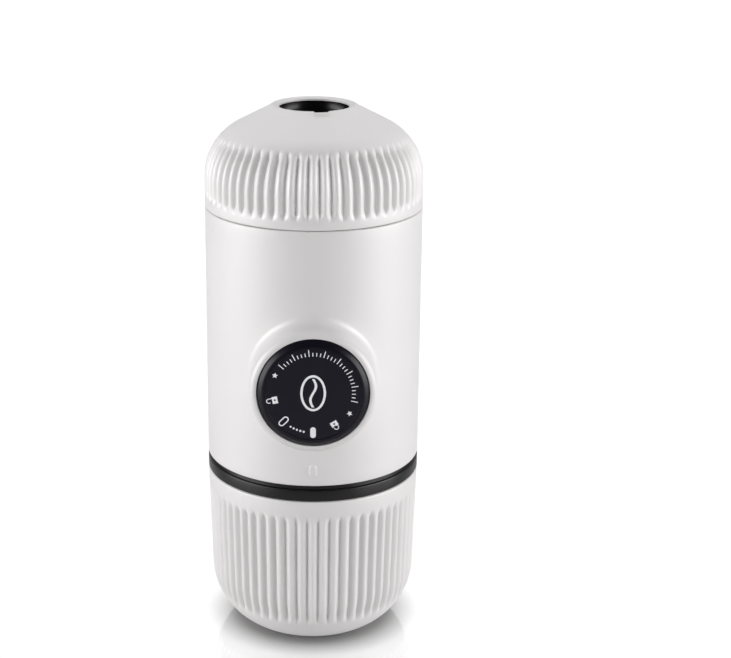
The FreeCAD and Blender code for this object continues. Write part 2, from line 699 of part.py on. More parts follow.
def knob_lug():
    section = face_of([
        (KNOB_R - KNOB_WALL / 2, KNOB_BACK_Y - LUG_THICKNESS),
        (KNOB_R + LUG_HEIGHT, KNOB_BACK_Y - LUG_THICKNESS),
        (KNOB_R + LUG_HEIGHT, KNOB_BACK_Y),
        (KNOB_R - KNOB_WALL / 2, KNOB_BACK_Y),
    ], lying)
    lug = section.revolve(Vector(0, 0, PUMP_Z), Y_AXIS, 2 * LUG_HALF_ANGLE)
    return pump_turned(lug, LUG_HALF_ANGLE - 90)


def knob():
    """Hollow button: bevelled front, web with the bearing hole, long skirt and two lugs."""
    face_r = KNOB_R - KNOB_BEVEL_WIDTH
    bevel_end = (KNOB_R, KNOB_FRONT_Y + KNOB_BEVEL_DEPTH)
    bevel_middle = (
        KNOB_R - KNOB_BEVEL_WIDTH * KNOB_BEVEL_MIDDLE[0],
        KNOB_FRONT_Y + KNOB_BEVEL_DEPTH * KNOB_BEVEL_MIDDLE[1],
    )
    outside = pump_lathe([
        (0, KNOB_FRONT_Y),
        (face_r, KNOB_FRONT_Y),
        (bevel_middle, bevel_end),
        (KNOB_R, KNOB_BACK_Y),
        (0, KNOB_BACK_Y),
    ])
    lug = knob_lug()
    body = outside.fuse([lug, pump_turned(lug, 180)])
    return body.cut([
        pump_rod(face_r, KNOB_FRONT_Y, WEB_FRONT_Y),
        pump_rod(WASHER_R + LOOSE, WEB_FRONT_Y, COUNTERBORE_Y),
        pump_rod(SPIGOT_R + SLIP, COUNTERBORE_Y, WEB_BACK_Y),
        pump_rod(KNOB_R - KNOB_WALL, WEB_BACK_Y, KNOB_BACK_Y),
    ])


def knob_face():
    return pump_rod(KNOB_R - KNOB_BEVEL_WIDTH - SEAT, KNOB_FRONT_Y, WEB_FRONT_Y)


def knob_washer():
    back = COUNTERBORE_Y - AXIAL_PLAY
    return pump_tube(WASHER_R, SCREW_SHANK_R + SLIP, back - WASHER_THICKNESS, back)


def knob_screw():
    seat = Vector(0, COUNTERBORE_Y - AXIAL_PLAY - WASHER_THICKNESS, PUMP_Z)
    head = SCREW_HEAD_HEIGHT - LOOSE
    return screw(SCREW_HEAD_R, head, SCREW_SHANK_R - SEAT, SCREW_LENGTH, seat, Y_AXIS)


# ---- plunger
def piston_ring_y():
    return PISTON_END_Y - PISTON_LENGTH / 2


def plunger():
    """Rod with the knob's bearing spigot in front and the piston behind."""
    front = COUNTERBORE_Y - AXIAL_PLAY
    groove = PISTON_RING_WIRE_R + SLIP
    piston_r = BARREL_BORE_R - PISTON_CLEARANCE
    groove_r = BARREL_BORE_R - SLIP - 2 * PISTON_RING_WIRE_R - SEAT
    stem = pump_lathe([
        (0, front),
        (SPIGOT_R, front),
        (SPIGOT_R, STEM_COLLAR_Y),
        (STEM_COLLAR_R, STEM_COLLAR_Y),
        (STEM_COLLAR_R, SPRING_SEAT_Y),
        (ROD_R, SPRING_SEAT_Y),
        (ROD_R, PISTON_END_Y - PISTON_LENGTH),
        (piston_r, PISTON_END_Y - PISTON_LENGTH),
        (piston_r, piston_ring_y() - groove),
        (groove_r, piston_ring_y() - groove),
        (groove_r, piston_ring_y() + groove),
        (piston_r, piston_ring_y() + groove),
        (piston_r, PISTON_END_Y),
        (0, PISTON_END_Y),
    ])
    screw_end = COUNTERBORE_Y - AXIAL_PLAY - WASHER_THICKNESS + SCREW_LENGTH
    return stem.cut(pump_rod(SCREW_SHANK_R, front, screw_end + LOOSE))


def plunger_seal():
    centre_r = BARREL_BORE_R - SLIP - PISTON_RING_WIRE_R
    return Part.makeTorus(centre_r, PISTON_RING_WIRE_R, Vector(0, piston_ring_y(), PUMP_Z), Y_AXIS)


def spring_seat():
    """Dished washer behind the plunger's collar that carries the return spring."""
    lip_r = RETURN_SPRING_R - RETURN_WIRE_R - LOOSE
    disc = pump_tube(SPRING_SEAT_R, ROD_R + SEAT, SPRING_SEAT_Y, SPRING_FRONT_Y)
    lip = pump_tube(lip_r, lip_r - SPRING_SEAT_THICKNESS, SPRING_FRONT_Y, SPRING_FRONT_Y + SPRING_SEAT_LIP)
    return disc.fuse(lip)


def return_spring():
    spring = coil(RETURN_SPRING_R, RETURN_WIRE_R, -SPRING_FRONT_Y, RETURN_TURNS)
    spring.rotate(Vector(0, 0, 0), Vector(1, 0, 0), -90)
    spring.translate(Vector(0, SPRING_FRONT_Y, PUMP_Z))
    return spring


# ---- pump
def ear_spots():
    return [(-EAR_X, PUMP_Z - EAR_DROP), (EAR_X, PUMP_Z - EAR_DROP)]


def pump_barrel():
    """Cylinder with a fixing flange and the two upright valve housings."""
    flange_back = BARREL_FLANGE_THICKNESS
    flange = pump_rod(BARREL_FLANGE_R, 0, flange_back)
    ears = [Part.makeCylinder(EAR_R, flange_back, Vector(x, 0, z), Y_AXIS) for x, z in ear_spots()]
    bar = block(2 * EAR_X, 0, flange_back, PUMP_Z - EAR_DROP - EAR_R, PUMP_Z - EAR_DROP + EAR_R)
    body = pump_rod(BARREL_R, BARREL_FRONT_Y, BARREL_BACK_Y)
    inlet_low = DECK_TOP + WASHER_SEAL
    outlet_high = PLATE_Z - WASHER_SEAL
    housing = rod(PORT_BOSS_R, inlet_low, outlet_high, 0, PORT_Y)
    cuts = [
        pump_rod(BARREL_BORE_R, BARREL_FRONT_Y, BARREL_BACK_Y),
        rod(PORT_BORE_R, inlet_low, CHAMBER_BOTTOM - PORT_WALL, 0, PORT_Y),
        rod(PORT_BORE_R, CHAMBER_TOP + PORT_WALL, outlet_high, 0, PORT_Y),
        rod(PORT_HOLE_R, inlet_low, outlet_high, 0, PORT_Y),
        block(2 * BODY_R, BARREL_BACK_Y, BODY_R, PUMP_Z - BARREL_R, PUMP_Z + BARREL_R),
    ]
    cuts += [Part.makeCylinder(SCREW_SHANK_R + SLIP, flange_back, Vector(x, 0, z), Y_AXIS)
             for x, z in ear_spots()]
    return body.fuse([flange, bar, housing] + ears).cut(cuts)


def barrel_cap():
    disc = pump_rod(BARREL_R, BARREL_BACK_Y, BARREL_BACK_Y + CAP_THICKNESS)
    plug = pump_rod(BARREL_BORE_R - SEAT, BARREL_BACK_Y - CAP_SPIGOT, BARREL_BACK_Y)
    return disc.fuse(plug)


def barrel_screws():
    return Part.makeCompound([
        screw(SCREW_HEAD_R, SCREW_HEAD_HEIGHT, SCREW_SHANK_R - SEAT, SCREW_LENGTH,
              Vector(x, 0, z), Y_AXIS)
        for x, z in ear_spots()
    ])


def rod_bush():
    return pump_tube(BARREL_BORE_R - SEAT, ROD_R + SLIP, BARREL_FRONT_Y, BUSH_BACK_Y)


def pump_cradle():
    """Saddle that carries the barrel on the deck."""
    front = BARREL_FLANGE_THICKNESS
    back = CRADLE_BACK_Y
    body = block(CRADLE_WIDTH, front, back, DECK_TOP, PUMP_Z + CRADLE_ABOVE_AXIS)
    cuts = [
        pump_rod(BARREL_R + SEAT, front, back),
        block(2 * BARREL_R, front, back, PUMP_Z, PUMP_Z + BARREL_R),
    ]
    for x in (-CRADLE_SCREW_X, CRADLE_SCREW_X):
        cuts.append(rod(SCREW_SHANK_R + SLIP, DECK_TOP, DECK_TOP + CRADLE_FOOT_HEIGHT, x, CRADLE_SCREW_Y))
        cuts.append(rod(SCREW_HEAD_R + SLIP, DECK_TOP + CRADLE_FOOT_HEIGHT,
                        PUMP_Z + CRADLE_ABOVE_AXIS, x, CRADLE_SCREW_Y))
    depth = SCREW_LENGTH - BARREL_FLANGE_THICKNESS
    cuts += [Part.makeCylinder(SCREW_SHANK_R, depth, Vector(x, front, z), Y_AXIS)
             for x, z in ear_spots()]
    return body.cut(cuts)


def cradle_screws():
    seat_z = DECK_TOP + CRADLE_FOOT_HEIGHT
    length = CRADLE_FOOT_HEIGHT + DECK_THICKNESS / 2 - LOOSE
    return Part.makeCompound([
        screw(SCREW_HEAD_R, SCREW_HEAD_HEIGHT, SCREW_SHANK_R - SEAT, length,
              Vector(x, CRADLE_SCREW_Y, seat_z), -Z_AXIS)
        for x in (-CRADLE_SCREW_X, CRADLE_SCREW_X)
    ])


# ---- valves: both open upwards, the inlet under the barrel and the outlet above it
def inlet_seat_z():
    return DECK_TOP + WASHER_SEAL


def outlet_seat_z():
    return CHAMBER_TOP + PORT_WALL


def valve_seat(low):
    return tube(PORT_BORE_R - SEAT, PORT_HOLE_R, low, low + VALVE_SEAT_HEIGHT, 0, PORT_Y)


def ball_z(low):
    """Height of a ball's centre that rests on the edge of its seat's hole."""
    drop = math.sqrt(BALL_R ** 2 - PORT_HOLE_R ** 2)
    return low + VALVE_SEAT_HEIGHT + drop + BALL_FLOAT


def valve_ball(low):
    return Part.makeSphere(BALL_R, Vector(0, PORT_Y, ball_z(low)))


def valve_spring(low, high):
    start = ball_z(low) + math.sqrt(BALL_R ** 2 - VALVE_SPRING_R ** 2) + VALVE_WIRE_R
    spring = coil(VALVE_SPRING_R, VALVE_WIRE_R, high - start - SLIP, VALVE_TURNS)
    spring.translate(Vector(0, PORT_Y, start))
    return spring


def inlet_spring():
    return valve_spring(inlet_seat_z(), CHAMBER_BOTTOM - PORT_WALL)


def outlet_spring():
    return valve_spring(outlet_seat_z(), PLATE_Z - WASHER_SEAL)


def inlet_seal():
    return tube(PORT_BOSS_R, PORT_HOLE_R, DECK_TOP, DECK_TOP + WASHER_SEAL, 0, PORT_Y)


def outlet_seal():
    return tube(PORT_BOSS_R, VALVE_SPRING_R - LOOSE, PLATE_Z - WASHER_SEAL, PLATE_Z, 0, PORT_Y)


def inlet_filter():
    """Mesh disc under the deck, in front of the suction hole."""
    disc = rod(FILTER_R, DECK_Z - FILTER_THICKNESS, DECK_Z, 0, PORT_Y)
    holes = []
    for share, count in FILTER_ROWS:
        for i in range(count):
            angle = 2 * math.pi * i / count
            x = share * FILTER_R * math.cos(angle)
            y = PORT_Y + share * FILTER_R * math.sin(angle)
            holes.append(rod(FILTER_HOLE_R, DECK_Z - FILTER_THICKNESS, DECK_Z, x, y))
    return disc.cut(holes)


def air_valve():
    """Silicone umbrella: cap under the deck, stem through it, button above."""
    cap = rod(AIR_CAP_R, DECK_Z - AIR_CAP_THICKNESS, DECK_Z, AIR_VALVE_X, AIR_VALVE_Y)
    stem = rod(AIR_STEM_R, DECK_Z, DECK_TOP, AIR_VALVE_X, AIR_VALVE_Y)
    button = Part.makeCone(AIR_BUTTON_R, AIR_STEM_R, AIR_CAP_THICKNESS,
                           Vector(AIR_VALVE_X, AIR_VALVE_Y, DECK_TOP), Z_AXIS)
    return cap.fuse([stem, button])


# ---- group
def hole_rows(radius, low, high, reach):
    """Drills in concentric rows over a round plate."""
    holes = [rod(radius, low, high)]
    for row in range(1, HOLE_ROWS + 1):
        at = reach * row / HOLE_ROWS
        count = HOLES_MORE_PER_ROW * row
        for i in range(count):
            angle = 2 * math.pi * i / count
            holes.append(rod(radius, low, high, at * math.cos(angle), at * math.sin(angle)))
    return holes


def shower_screen():
    top = PLATE_TOP + SCREEN_THICKNESS
    disc = rod(SCREEN_R, PLATE_TOP, top)
    return disc.cut(hole_rows(SCREEN_HOLE_R, PLATE_TOP, top, SHOWER_RECESS_R - SCREEN_HOLE_INSET))


def shower_screw():
    seat = Vector(0, 0, PLATE_TOP + SCREEN_THICKNESS)
    length = SCREEN_THICKNESS + PLATE_THICKNESS / 2 - LOOSE
    return screw(SCREW_HEAD_R, SMALL_HEAD_HEIGHT, SCREEN_HOLE_R - SEAT, length, seat, -Z_AXIS)


def group_gasket():
    return tube(GASKET_OUT_R, GASKET_IN_R, PLATE_TOP, FLANGE_Z)


def basket_top():
    return HEAD_PLATE_Z - BASKET_HEADROOM


def filter_basket():
    """Deep-drawn basket: flange below on the gasket, perforated base above."""
    inner = BASKET_R - BASKET_WALL
    base_z = basket_top() - BASKET_WALL
    body = lathe([
        (inner, FLANGE_Z),
        (BASKET_FLANGE_R, FLANGE_Z),
        (BASKET_FLANGE_R, FLANGE_Z + BASKET_FLANGE_THICKNESS),
        (BASKET_R, FLANGE_Z + BASKET_FLANGE_THICKNESS),
        (BASKET_R, basket_top()),
        (0, basket_top()),
        (0, base_z),
        (inner, base_z),
    ])
    return body.cut(hole_rows(BASKET_HOLE_R, base_z, basket_top(), inner - BASKET_HOLE_INSET))


def scoop():
    """Round measuring cup, upside down in the basket, with a pinch tab on its base."""
    low = PLATE_TOP + SCREEN_THICKNESS + LOOSE
    top = basket_top() - BASKET_WALL - SCOOP_HEADROOM - SCOOP_TAB_HEIGHT
    cup = rod(SCOOP_R, low, top).cut(rod(SCOOP_R - SCOOP_WALL, low, top - SCOOP_WALL))
    half = SCOOP_TAB_THICKNESS / 2
    tab = block(SCOOP_TAB_LENGTH, -half, half, top, top + SCOOP_TAB_HEIGHT)
    return cup.fuse(tab)


# ---- brewing head
def head_ridge_turns():
    low = skirt_low() + RIDGE_MARGIN
    return (SHELL_TOP - HEAD_RIDGE_BELOW_EDGE - low) / THREAD_LEAD


def skirt_low():
    return PLATE_TOP + SKIRT_SHORT


def head_seal():
    """Flat ring between the body's upper edge and the head's plate."""
    outer = BODY_R - HEAD_WALL - 2 * SHELL_FIT
    return tube(outer, NECK_R + LOOSE, SHELL_TOP, HEAD_PLATE_Z)


def portafilter():
    """Plate with the threaded skirt and the tube that holds the basket down."""
    plate = rod(BODY_R - HEAD_WALL - HEAD_PLATE_FIT, HEAD_PLATE_Z, HEAD_PLATE_TOP)
    skirt = tube(NECK_R, NECK_R - NECK_WALL, skirt_low(), HEAD_PLATE_Z)
    funnel_low = FLANGE_Z + BASKET_FLANGE_THICKNESS + PART_GAP
    funnel = tube(FUNNEL_R, FUNNEL_IN_R, funnel_low, HEAD_PLATE_Z)
    cuts = [rod(OUTLET_HOLE_R, HEAD_PLATE_Z, HEAD_PLATE_TOP)]
    hole = rod(SMALL_SHANK_R + SLIP, HEAD_PLATE_Z, HEAD_PLATE_TOP, 0, HEAD_SCREW_RADIUS)
    cuts += around(hole, HEAD_SCREWS)
    hole = rod(SMALL_SHANK_R + SLIP, HEAD_PLATE_Z, HEAD_PLATE_TOP, 0, NOZZLE_SCREW_RADIUS)
    cuts += around(hole, HEAD_SCREWS, 60)
    body = plate.fuse([skirt, funnel]).cut(cuts)
    low = skirt_low() + RIDGE_MARGIN
    return merged(body, ridges(NECK_R, NECK_R + THREAD_DEPTH, low, head_ridge_turns(), 0))


def head_form(inset, low, top):
    """Outside of the head, set in by inset and cut off flat at top."""
    start = head_point(inset, 0)
    middle = head_point(inset, (90 - HEAD_SLOPE) / 2)
    end = head_point(inset, 90 - HEAD_SLOPE)
    tangent = math.tan(math.radians(HEAD_SLOPE))
    cut_r = end[0] - (top - end[1]) / tangent
    return lathe([(0, low), (start[0], low), start, (middle, end), (cut_r, top), (0, top)])


def head_cover():
    """Ribbed cover with the outlet hole, its notch and three screw bosses."""
    start = head_point(0, 0)
    middle = head_point(0, (90 - HEAD_SLOPE) / 2)
    end = head_point(0, 90 - HEAD_SLOPE)
    rim_z = head_top() - HEAD_RIM_ROLL
    roll_middle = ((HEAD_CREST_R + HOLE_R) / 2, head_top() - HEAD_RIM_ROLL / 4)
    outside = lathe([
        (0, HEAD_Z),
        (BODY_R, HEAD_Z),
        start,
        (middle, end),
        (HEAD_RIM_R, head_slope_z(0, HEAD_RIM_R)),
        (HEAD_CREST_R, head_top()),
        (roll_middle, (HOLE_R, rim_z)),
        (0, rim_z),
    ])
    ceiling = head_top() - HEAD_TOP_THICKNESS
    inside = head_form(HEAD_WALL, HEAD_Z, ceiling)
    boss = rod(HEAD_BOSS_R, HEAD_PLATE_TOP, ceiling, 0, HEAD_SCREW_RADIUS)
    bosses = [b.common(inside) for b in around(boss, HEAD_SCREWS)]
    notch = Part.makeBox(NOTCH_WIDTH, HOLE_R + NOTCH_DEPTH, HEAD_TOP_THICKNESS,
                         Vector(-NOTCH_WIDTH / 2, -HOLE_R - NOTCH_DEPTH, ceiling))
    hole = rod(HOLE_R, ceiling, head_top())
    recess = rod(DISH_R + SEAT, ceiling, dish_rim_z())
    drill = rod(SMALL_SHANK_R, HEAD_PLATE_TOP, HEAD_PLATE_TOP + SMALL_LENGTH, 0, HEAD_SCREW_RADIUS)
    cover = outside.cut(inside).fuse(bosses)
    cover = cover.cut([hole, recess, turned(notch, NOTCH_ANGLE)] + around(drill, HEAD_SCREWS))
    low = HEAD_Z + HEAD_GROOVE_ABOVE_EDGE
    runout = HEAD_GROOVE_END + math.degrees(GROOVE_RUNOUT / HEAD_CORNER_R)
    section = face_of([
        (BODY_R + GROOVE_DEPTH, low),
        (BODY_R - GROOVE_DEPTH, low + GROOVE_RUNOUT),
        head_point(GROOVE_DEPTH, 0),
        (head_point(GROOVE_DEPTH, HEAD_GROOVE_END / 2), head_point(GROOVE_DEPTH, HEAD_GROOVE_END)),
        head_point(-GROOVE_DEPTH, runout),
        (head_point(-GROOVE_DEPTH, runout / 2), head_point(-GROOVE_DEPTH, 0)),
    ], upright)
    half_pitch = 180.0 / RIB_COUNT
    return cover.cut(groove_blades(section, -90 + half_pitch))


def head_screws():
    seat = Vector(0, HEAD_SCREW_RADIUS, HEAD_PLATE_Z)
    one = screw(SMALL_HEAD_R, SMALL_HEAD_HEIGHT, SMALL_SHANK_R - SEAT,
                HEAD_PLATE_THICKNESS + SMALL_LENGTH - HOLE_SPARE, seat, Z_AXIS)
    return Part.makeCompound(around(one, HEAD_SCREWS))


# ---- outlet
def crema_valve():
    """Poppet on the portafilter's outlet hole, with its guide stem."""
    disc_top = HEAD_PLATE_TOP + BALL_FLOAT + CREMA_DISC
    disc = rod(CREMA_R, HEAD_PLATE_TOP + BALL_FLOAT, disc_top)
    stem = rod(CREMA_STEM_R, disc_top, disc_top + CREMA_STEM_LENGTH)
    return disc.fuse(stem)


def crema_spring():
    low = HEAD_PLATE_TOP + BALL_FLOAT + CREMA_DISC + SLIP
    high = HEAD_PLATE_TOP + VALVE_HOUSE_HEIGHT - VALVE_HOUSE_WALL
    spring = coil(CREMA_SPRING_R, CREMA_WIRE_R, high - low - SLIP, CREMA_TURNS)
    spring.translate(Vector(0, 0, low))
    return spring


def outlet_nozzle():
    """Valve housing with its flange, the guide of the stem and the spout."""
    house_top = HEAD_PLATE_TOP + VALVE_HOUSE_HEIGHT
    roof = house_top - VALVE_HOUSE_WALL
    flange_top = HEAD_PLATE_TOP + NOZZLE_FLANGE_THICKNESS
    spout_top = head_top() - NOZZLE_DEPTH
    body = lathe([
        (0, HEAD_PLATE_TOP),
        (NOZZLE_FLANGE_R, HEAD_PLATE_TOP),
        (NOZZLE_FLANGE_R, flange_top),
        (VALVE_HOUSE_R, flange_top),
        (VALVE_HOUSE_R, house_top),
        (NOZZLE_R, house_top),
        (NOZZLE_R, spout_top - NOZZLE_CHAMFER),
        (NOZZLE_R - NOZZLE_CHAMFER, spout_top),
        (0, spout_top),
    ])
    chamber = rod(VALVE_HOUSE_R - VALVE_HOUSE_WALL, HEAD_PLATE_TOP, roof)
    spout = rod(NOZZLE_BORE_R, house_top, spout_top)
    mouth = Part.makeCone(NOZZLE_BORE_R, NOZZLE_BORE_R + NOZZLE_MOUTH, NOZZLE_MOUTH,
                          Vector(0, 0, spout_top - NOZZLE_MOUTH), Z_AXIS)
    guide = rod(CREMA_STEM_R + SLIP, roof, house_top)
    passage = rod(PASSAGE_R, roof, house_top, 0, CREMA_STEM_R + SLIP)
    drill = rod(SMALL_SHANK_R, HEAD_PLATE_TOP, flange_top, 0, NOZZLE_SCREW_RADIUS)
    cuts = [chamber, spout, mouth, guide]
    cuts += around(passage, 4) + around(drill, HEAD_SCREWS, 60)
    return body.cut(cuts)


def nozzle_screws():
    seat = Vector(0, NOZZLE_SCREW_RADIUS, HEAD_PLATE_Z)
    length = HEAD_PLATE_THICKNESS + NOZZLE_FLANGE_THICKNESS - LOOSE
    one = screw(SMALL_HEAD_R, SMALL_HEAD_HEIGHT, SMALL_SHANK_R - SEAT, length, seat, Z_AXIS)
    return Part.makeCompound(around(one, HEAD_SCREWS, 60))


def dish_rim_z():
    return head_top() - HEAD_RIM_THICKNESS


def dish_floor():
    return head_top() - HEAD_TOP_THICKNESS - DISH_DEPTH


def outlet_dish():
    """Round dish let into the cover under its hole, round the spout."""
    rim_top = dish_rim_z()
    rim_low = rim_top - DISH_RIM
    floor = dish_floor()
    collar_in = NOZZLE_R + SEAT
    collar_top = floor + DISH_WALL + DISH_COLLAR_RISE
    diagonal = math.sqrt(0.5)
    bend_r = DISH_MOUTH_R - (DISH_MOUTH_R - DISH_COLLAR_R) * (1 - diagonal)
    bend_z = rim_top - (rim_top - floor - DISH_WALL) * diagonal
    under_bend = (bend_r + DISH_WALL * diagonal, bend_z - DISH_WALL * diagonal)
    return lathe([
        (collar_in, floor),
        (DISH_COLLAR_R + DISH_WALL, floor),
        (under_bend, (DISH_MOUTH_R + DISH_WALL, rim_low)),
        (DISH_R, rim_low),
        (DISH_R, rim_top),
        (DISH_MOUTH_R, rim_top),
        ((bend_r, bend_z), (DISH_COLLAR_R, floor + DISH_WALL)),
        (DISH_COLLAR_R, collar_top),
        (collar_in, collar_top),
    ])


def nozzle_o_ring():
    """Ring under the dish that seals it to the spout."""
    centre_r = NOZZLE_R + NOZZLE_RING_WIRE_R + SEAT
    return ring(centre_r, NOZZLE_RING_WIRE_R, dish_floor() - NOZZLE_RING_WIRE_R)


PIECES = {
    "drinking_cup": drinking_cup,
    "cup_o_ring": cup_o_ring,
    "water_tank": water_tank,
    "tank_seal": tank_seal,
    "body_shell": body_shell,
    "lower_chassis": lower_chassis,
    "upper_chassis": upper_chassis,
    "frame_screws": frame_screws,
    "guide_sleeve": guide_sleeve,
    "knob": knob,
    "knob_face": knob_face,
    "knob_washer": knob_washer,
    "knob_screw": knob_screw,
    "plunger": plunger,
    "plunger_seal": plunger_seal,
    "spring_seat": spring_seat,
    "return_spring": return_spring,
    "pump_barrel": pump_barrel,
    "barrel_cap": barrel_cap,
    "barrel_screws": barrel_screws,
    "rod_bush": rod_bush,
    "pump_cradle": pump_cradle,
    "cradle_screws": cradle_screws,
    "inlet_filter": inlet_filter,
    "inlet_seal": inlet_seal,
    "inlet_seat": lambda: valve_seat(inlet_seat_z()),
    "inlet_ball": lambda: valve_ball(inlet_seat_z()),
    "inlet_spring": inlet_spring,
    "outlet_seat": lambda: valve_seat(outlet_seat_z()),
    "outlet_ball": lambda: valve_ball(outlet_seat_z()),
    "outlet_spring": outlet_spring,
    "outlet_seal": outlet_seal,
    "air_valve": air_valve,
    "shower_screen": shower_screen,
    "shower_screw": shower_screw,
    "group_gasket": group_gasket,
    "filter_basket": filter_basket,
    "scoop": scoop,
    "head_seal": head_seal,
    "portafilter": portafilter,
    "head_cover": head_cover,
    "head_screws": head_screws,
    "crema_valve": crema_valve,
    "crema_spring": crema_spring,
    "outlet_nozzle": outlet_nozzle,
    "nozzle_screws": nozzle_screws,
    "nozzle_o_ring": nozzle_o_ring,
    "outlet_dish": outlet_dish,
}

os.makedirs("parts", exist_ok=True)
for name, make in PIECES.items():
    shape = make()
    shape.exportStep("parts/" + name + ".step")
    box = shape.BoundBox
    print(name, len(shape.Solids), shape.isValid(), round(shape.Volume, 1),
          [round(v, 2) for v in (box.XMin, box.YMin, box.ZMin, box.XMax, box.YMax, box.ZMax)])
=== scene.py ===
import math

import bmesh
import bpy
from mathutils import Matrix, Vector


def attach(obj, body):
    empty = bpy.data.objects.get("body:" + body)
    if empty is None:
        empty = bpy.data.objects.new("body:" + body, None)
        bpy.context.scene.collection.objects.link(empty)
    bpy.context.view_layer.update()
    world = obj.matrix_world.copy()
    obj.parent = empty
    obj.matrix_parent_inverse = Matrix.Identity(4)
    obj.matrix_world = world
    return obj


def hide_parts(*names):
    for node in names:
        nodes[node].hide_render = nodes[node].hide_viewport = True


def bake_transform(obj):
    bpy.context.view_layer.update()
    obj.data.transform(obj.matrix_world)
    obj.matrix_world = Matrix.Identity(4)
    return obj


# Handheld manual espresso maker in its stored state: cup below, pump in the middle, brewing head above.
# Sizes are in millimetres here and become metres where a mesh is made. The cup stands on z = 0.

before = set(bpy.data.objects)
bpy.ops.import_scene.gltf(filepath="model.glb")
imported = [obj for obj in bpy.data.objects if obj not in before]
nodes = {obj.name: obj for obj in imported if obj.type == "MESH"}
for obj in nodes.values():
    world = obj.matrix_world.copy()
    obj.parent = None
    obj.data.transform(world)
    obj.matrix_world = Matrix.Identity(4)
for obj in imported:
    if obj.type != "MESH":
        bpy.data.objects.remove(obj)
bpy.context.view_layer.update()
scene = bpy.context.scene
scene.view_settings.view_transform = "Standard"


# ---- camera
# It looks at the knob from the front and a little from above, with the maker left of the middle.
camera_place = Vector((0.0, -0.4931, 0.2503))
camera_down = math.radians(18.07)
camera_roll = math.radians(0.2)
camera = bpy.data.objects.new("camera", bpy.data.cameras.new("camera"))
camera.data.sensor_width = 36.0
camera.data.lens = 87.57
camera.data.shift_x = 0.0713
camera.data.clip_start = 0.01
camera.matrix_world = (
    Matrix.Translation(camera_place)
    @ Matrix.Rotation(math.pi / 2 - camera_down, 4, "X")
    @ Matrix.Rotation(camera_roll, 4, "Z")
)
scene.collection.objects.link(camera)
scene.camera = camera


# ---- studio
# White floor and backdrop, and a wide soft box on each side, a little in front, which leaves the middle
# of a round body and the valleys between its ribs darker. A third box stands behind, over the head.
def node(tree, kind, inputs=(), **settings):
    """New shader node; inputs maps a socket to a value or to another node's output."""
    made = tree.nodes.new(kind)
    for key, value in settings.items():
        setattr(made, key, value)
    for key, value in dict(inputs).items():
        if isinstance(value, bpy.types.NodeSocket):
            tree.links.new(value, made.inputs[key])
        else:
            made.inputs[key].default_value = value
    return made


def maths(tree, operation, *values):
    return node(tree, "ShaderNodeMath", dict(enumerate(values)), operation=operation).outputs[0]


def ramp(tree, value, start, end, low, high):
    """Goes from low to high while the value goes from start to end, and is level beyond both."""
    return node(tree, "ShaderNodeMapRange", {"Value": value, "From Min": start, "From Max": end,
                                             "To Min": low, "To Max": high}).outputs[0]


def new_group(name, inputs, outputs):
    """Empty node group with its sockets, each (name, kind)."""
    group = bpy.data.node_groups.new(name, "ShaderNodeTree")
    for in_out, sockets in (("INPUT", inputs), ("OUTPUT", outputs)):
        for socket, kind in sockets:
            group.interface.new_socket(socket, in_out=in_out, socket_type="NodeSocket" + kind)
    return group


def new_material(name):
    material = bpy.data.materials.new(name)
    material.use_nodes = True
    material.node_tree.nodes.clear()
    return material


def soft_box(name, place, width, height, watts):
    """Area light that faces the middle of the maker; sizes are in metres."""
    light = bpy.data.lights.new(name, "AREA")
    light.shape = "RECTANGLE"
    light.size = width
    light.size_y = height
    light.energy = watts
    box = bpy.data.objects.new(name, light)
    box.location = place
    box.rotation_euler = (middle - Vector(place)).to_track_quat("-Z", "Y").to_euler()
    scene.collection.objects.link(box)


middle = Vector((0.0, 0.0, 0.08))
for side_name, side in (("left_box", -1), ("right_box", 1)):
    soft_box(side_name, (1.06 * side, -0.3, 0.2), 0.95, 0.9, 14.0)
soft_box("top_box", (0.0, 0.45, 1.1), 1.2, 0.8, 3.0)

world = bpy.data.worlds.new("studio")
scene.world = world
world.use_nodes = True
tree = world.node_tree
tree.nodes.clear()
# The camera sees white. A mirror image shows a dim wall behind that turns white towards the top, and
# matt surfaces get their light from the front.
path = node(tree, "ShaderNodeLightPath")
direction = node(tree, "ShaderNodeTexCoord").outputs["Generated"]
split = node(tree, "ShaderNodeSeparateXYZ", {0: direction})
behind = split.outputs["Y"]
far_up = maths(tree, "ADD", behind, split.outputs["Z"])
sweep = ramp(tree, far_up, 1.0, 1.1, 0.0, 1.0)
backdrop = ramp(tree, behind, 0.55, 0.9, 0.02, 0.12)
mirror_image = maths(tree, "ADD", backdrop, sweep)
from_front = node(tree, "ShaderNodeVectorMath", {0: direction, 1: (0.0, -1.0, 0.1)},
                  operation="DOT_PRODUCT").outputs["Value"]
room = ramp(tree, from_front, -0.3, 1.0, 0.0, 0.36)
mirrored = maths(tree, "MAXIMUM", path.outputs["Is Glossy Ray"], path.outputs["Is Transmission Ray"])
seen = maths(tree, "MULTIPLY_ADD", mirrored, mirror_image, path.outputs["Is Camera Ray"])
level = maths(tree, "MULTIPLY_ADD", path.outputs["Is Diffuse Ray"], room, seen)
background = node(tree, "ShaderNodeBackground", {"Color": (1, 1, 1, 1), "Strength": level})
node(tree, "ShaderNodeOutputWorld", {"Surface": background.outputs[0]})

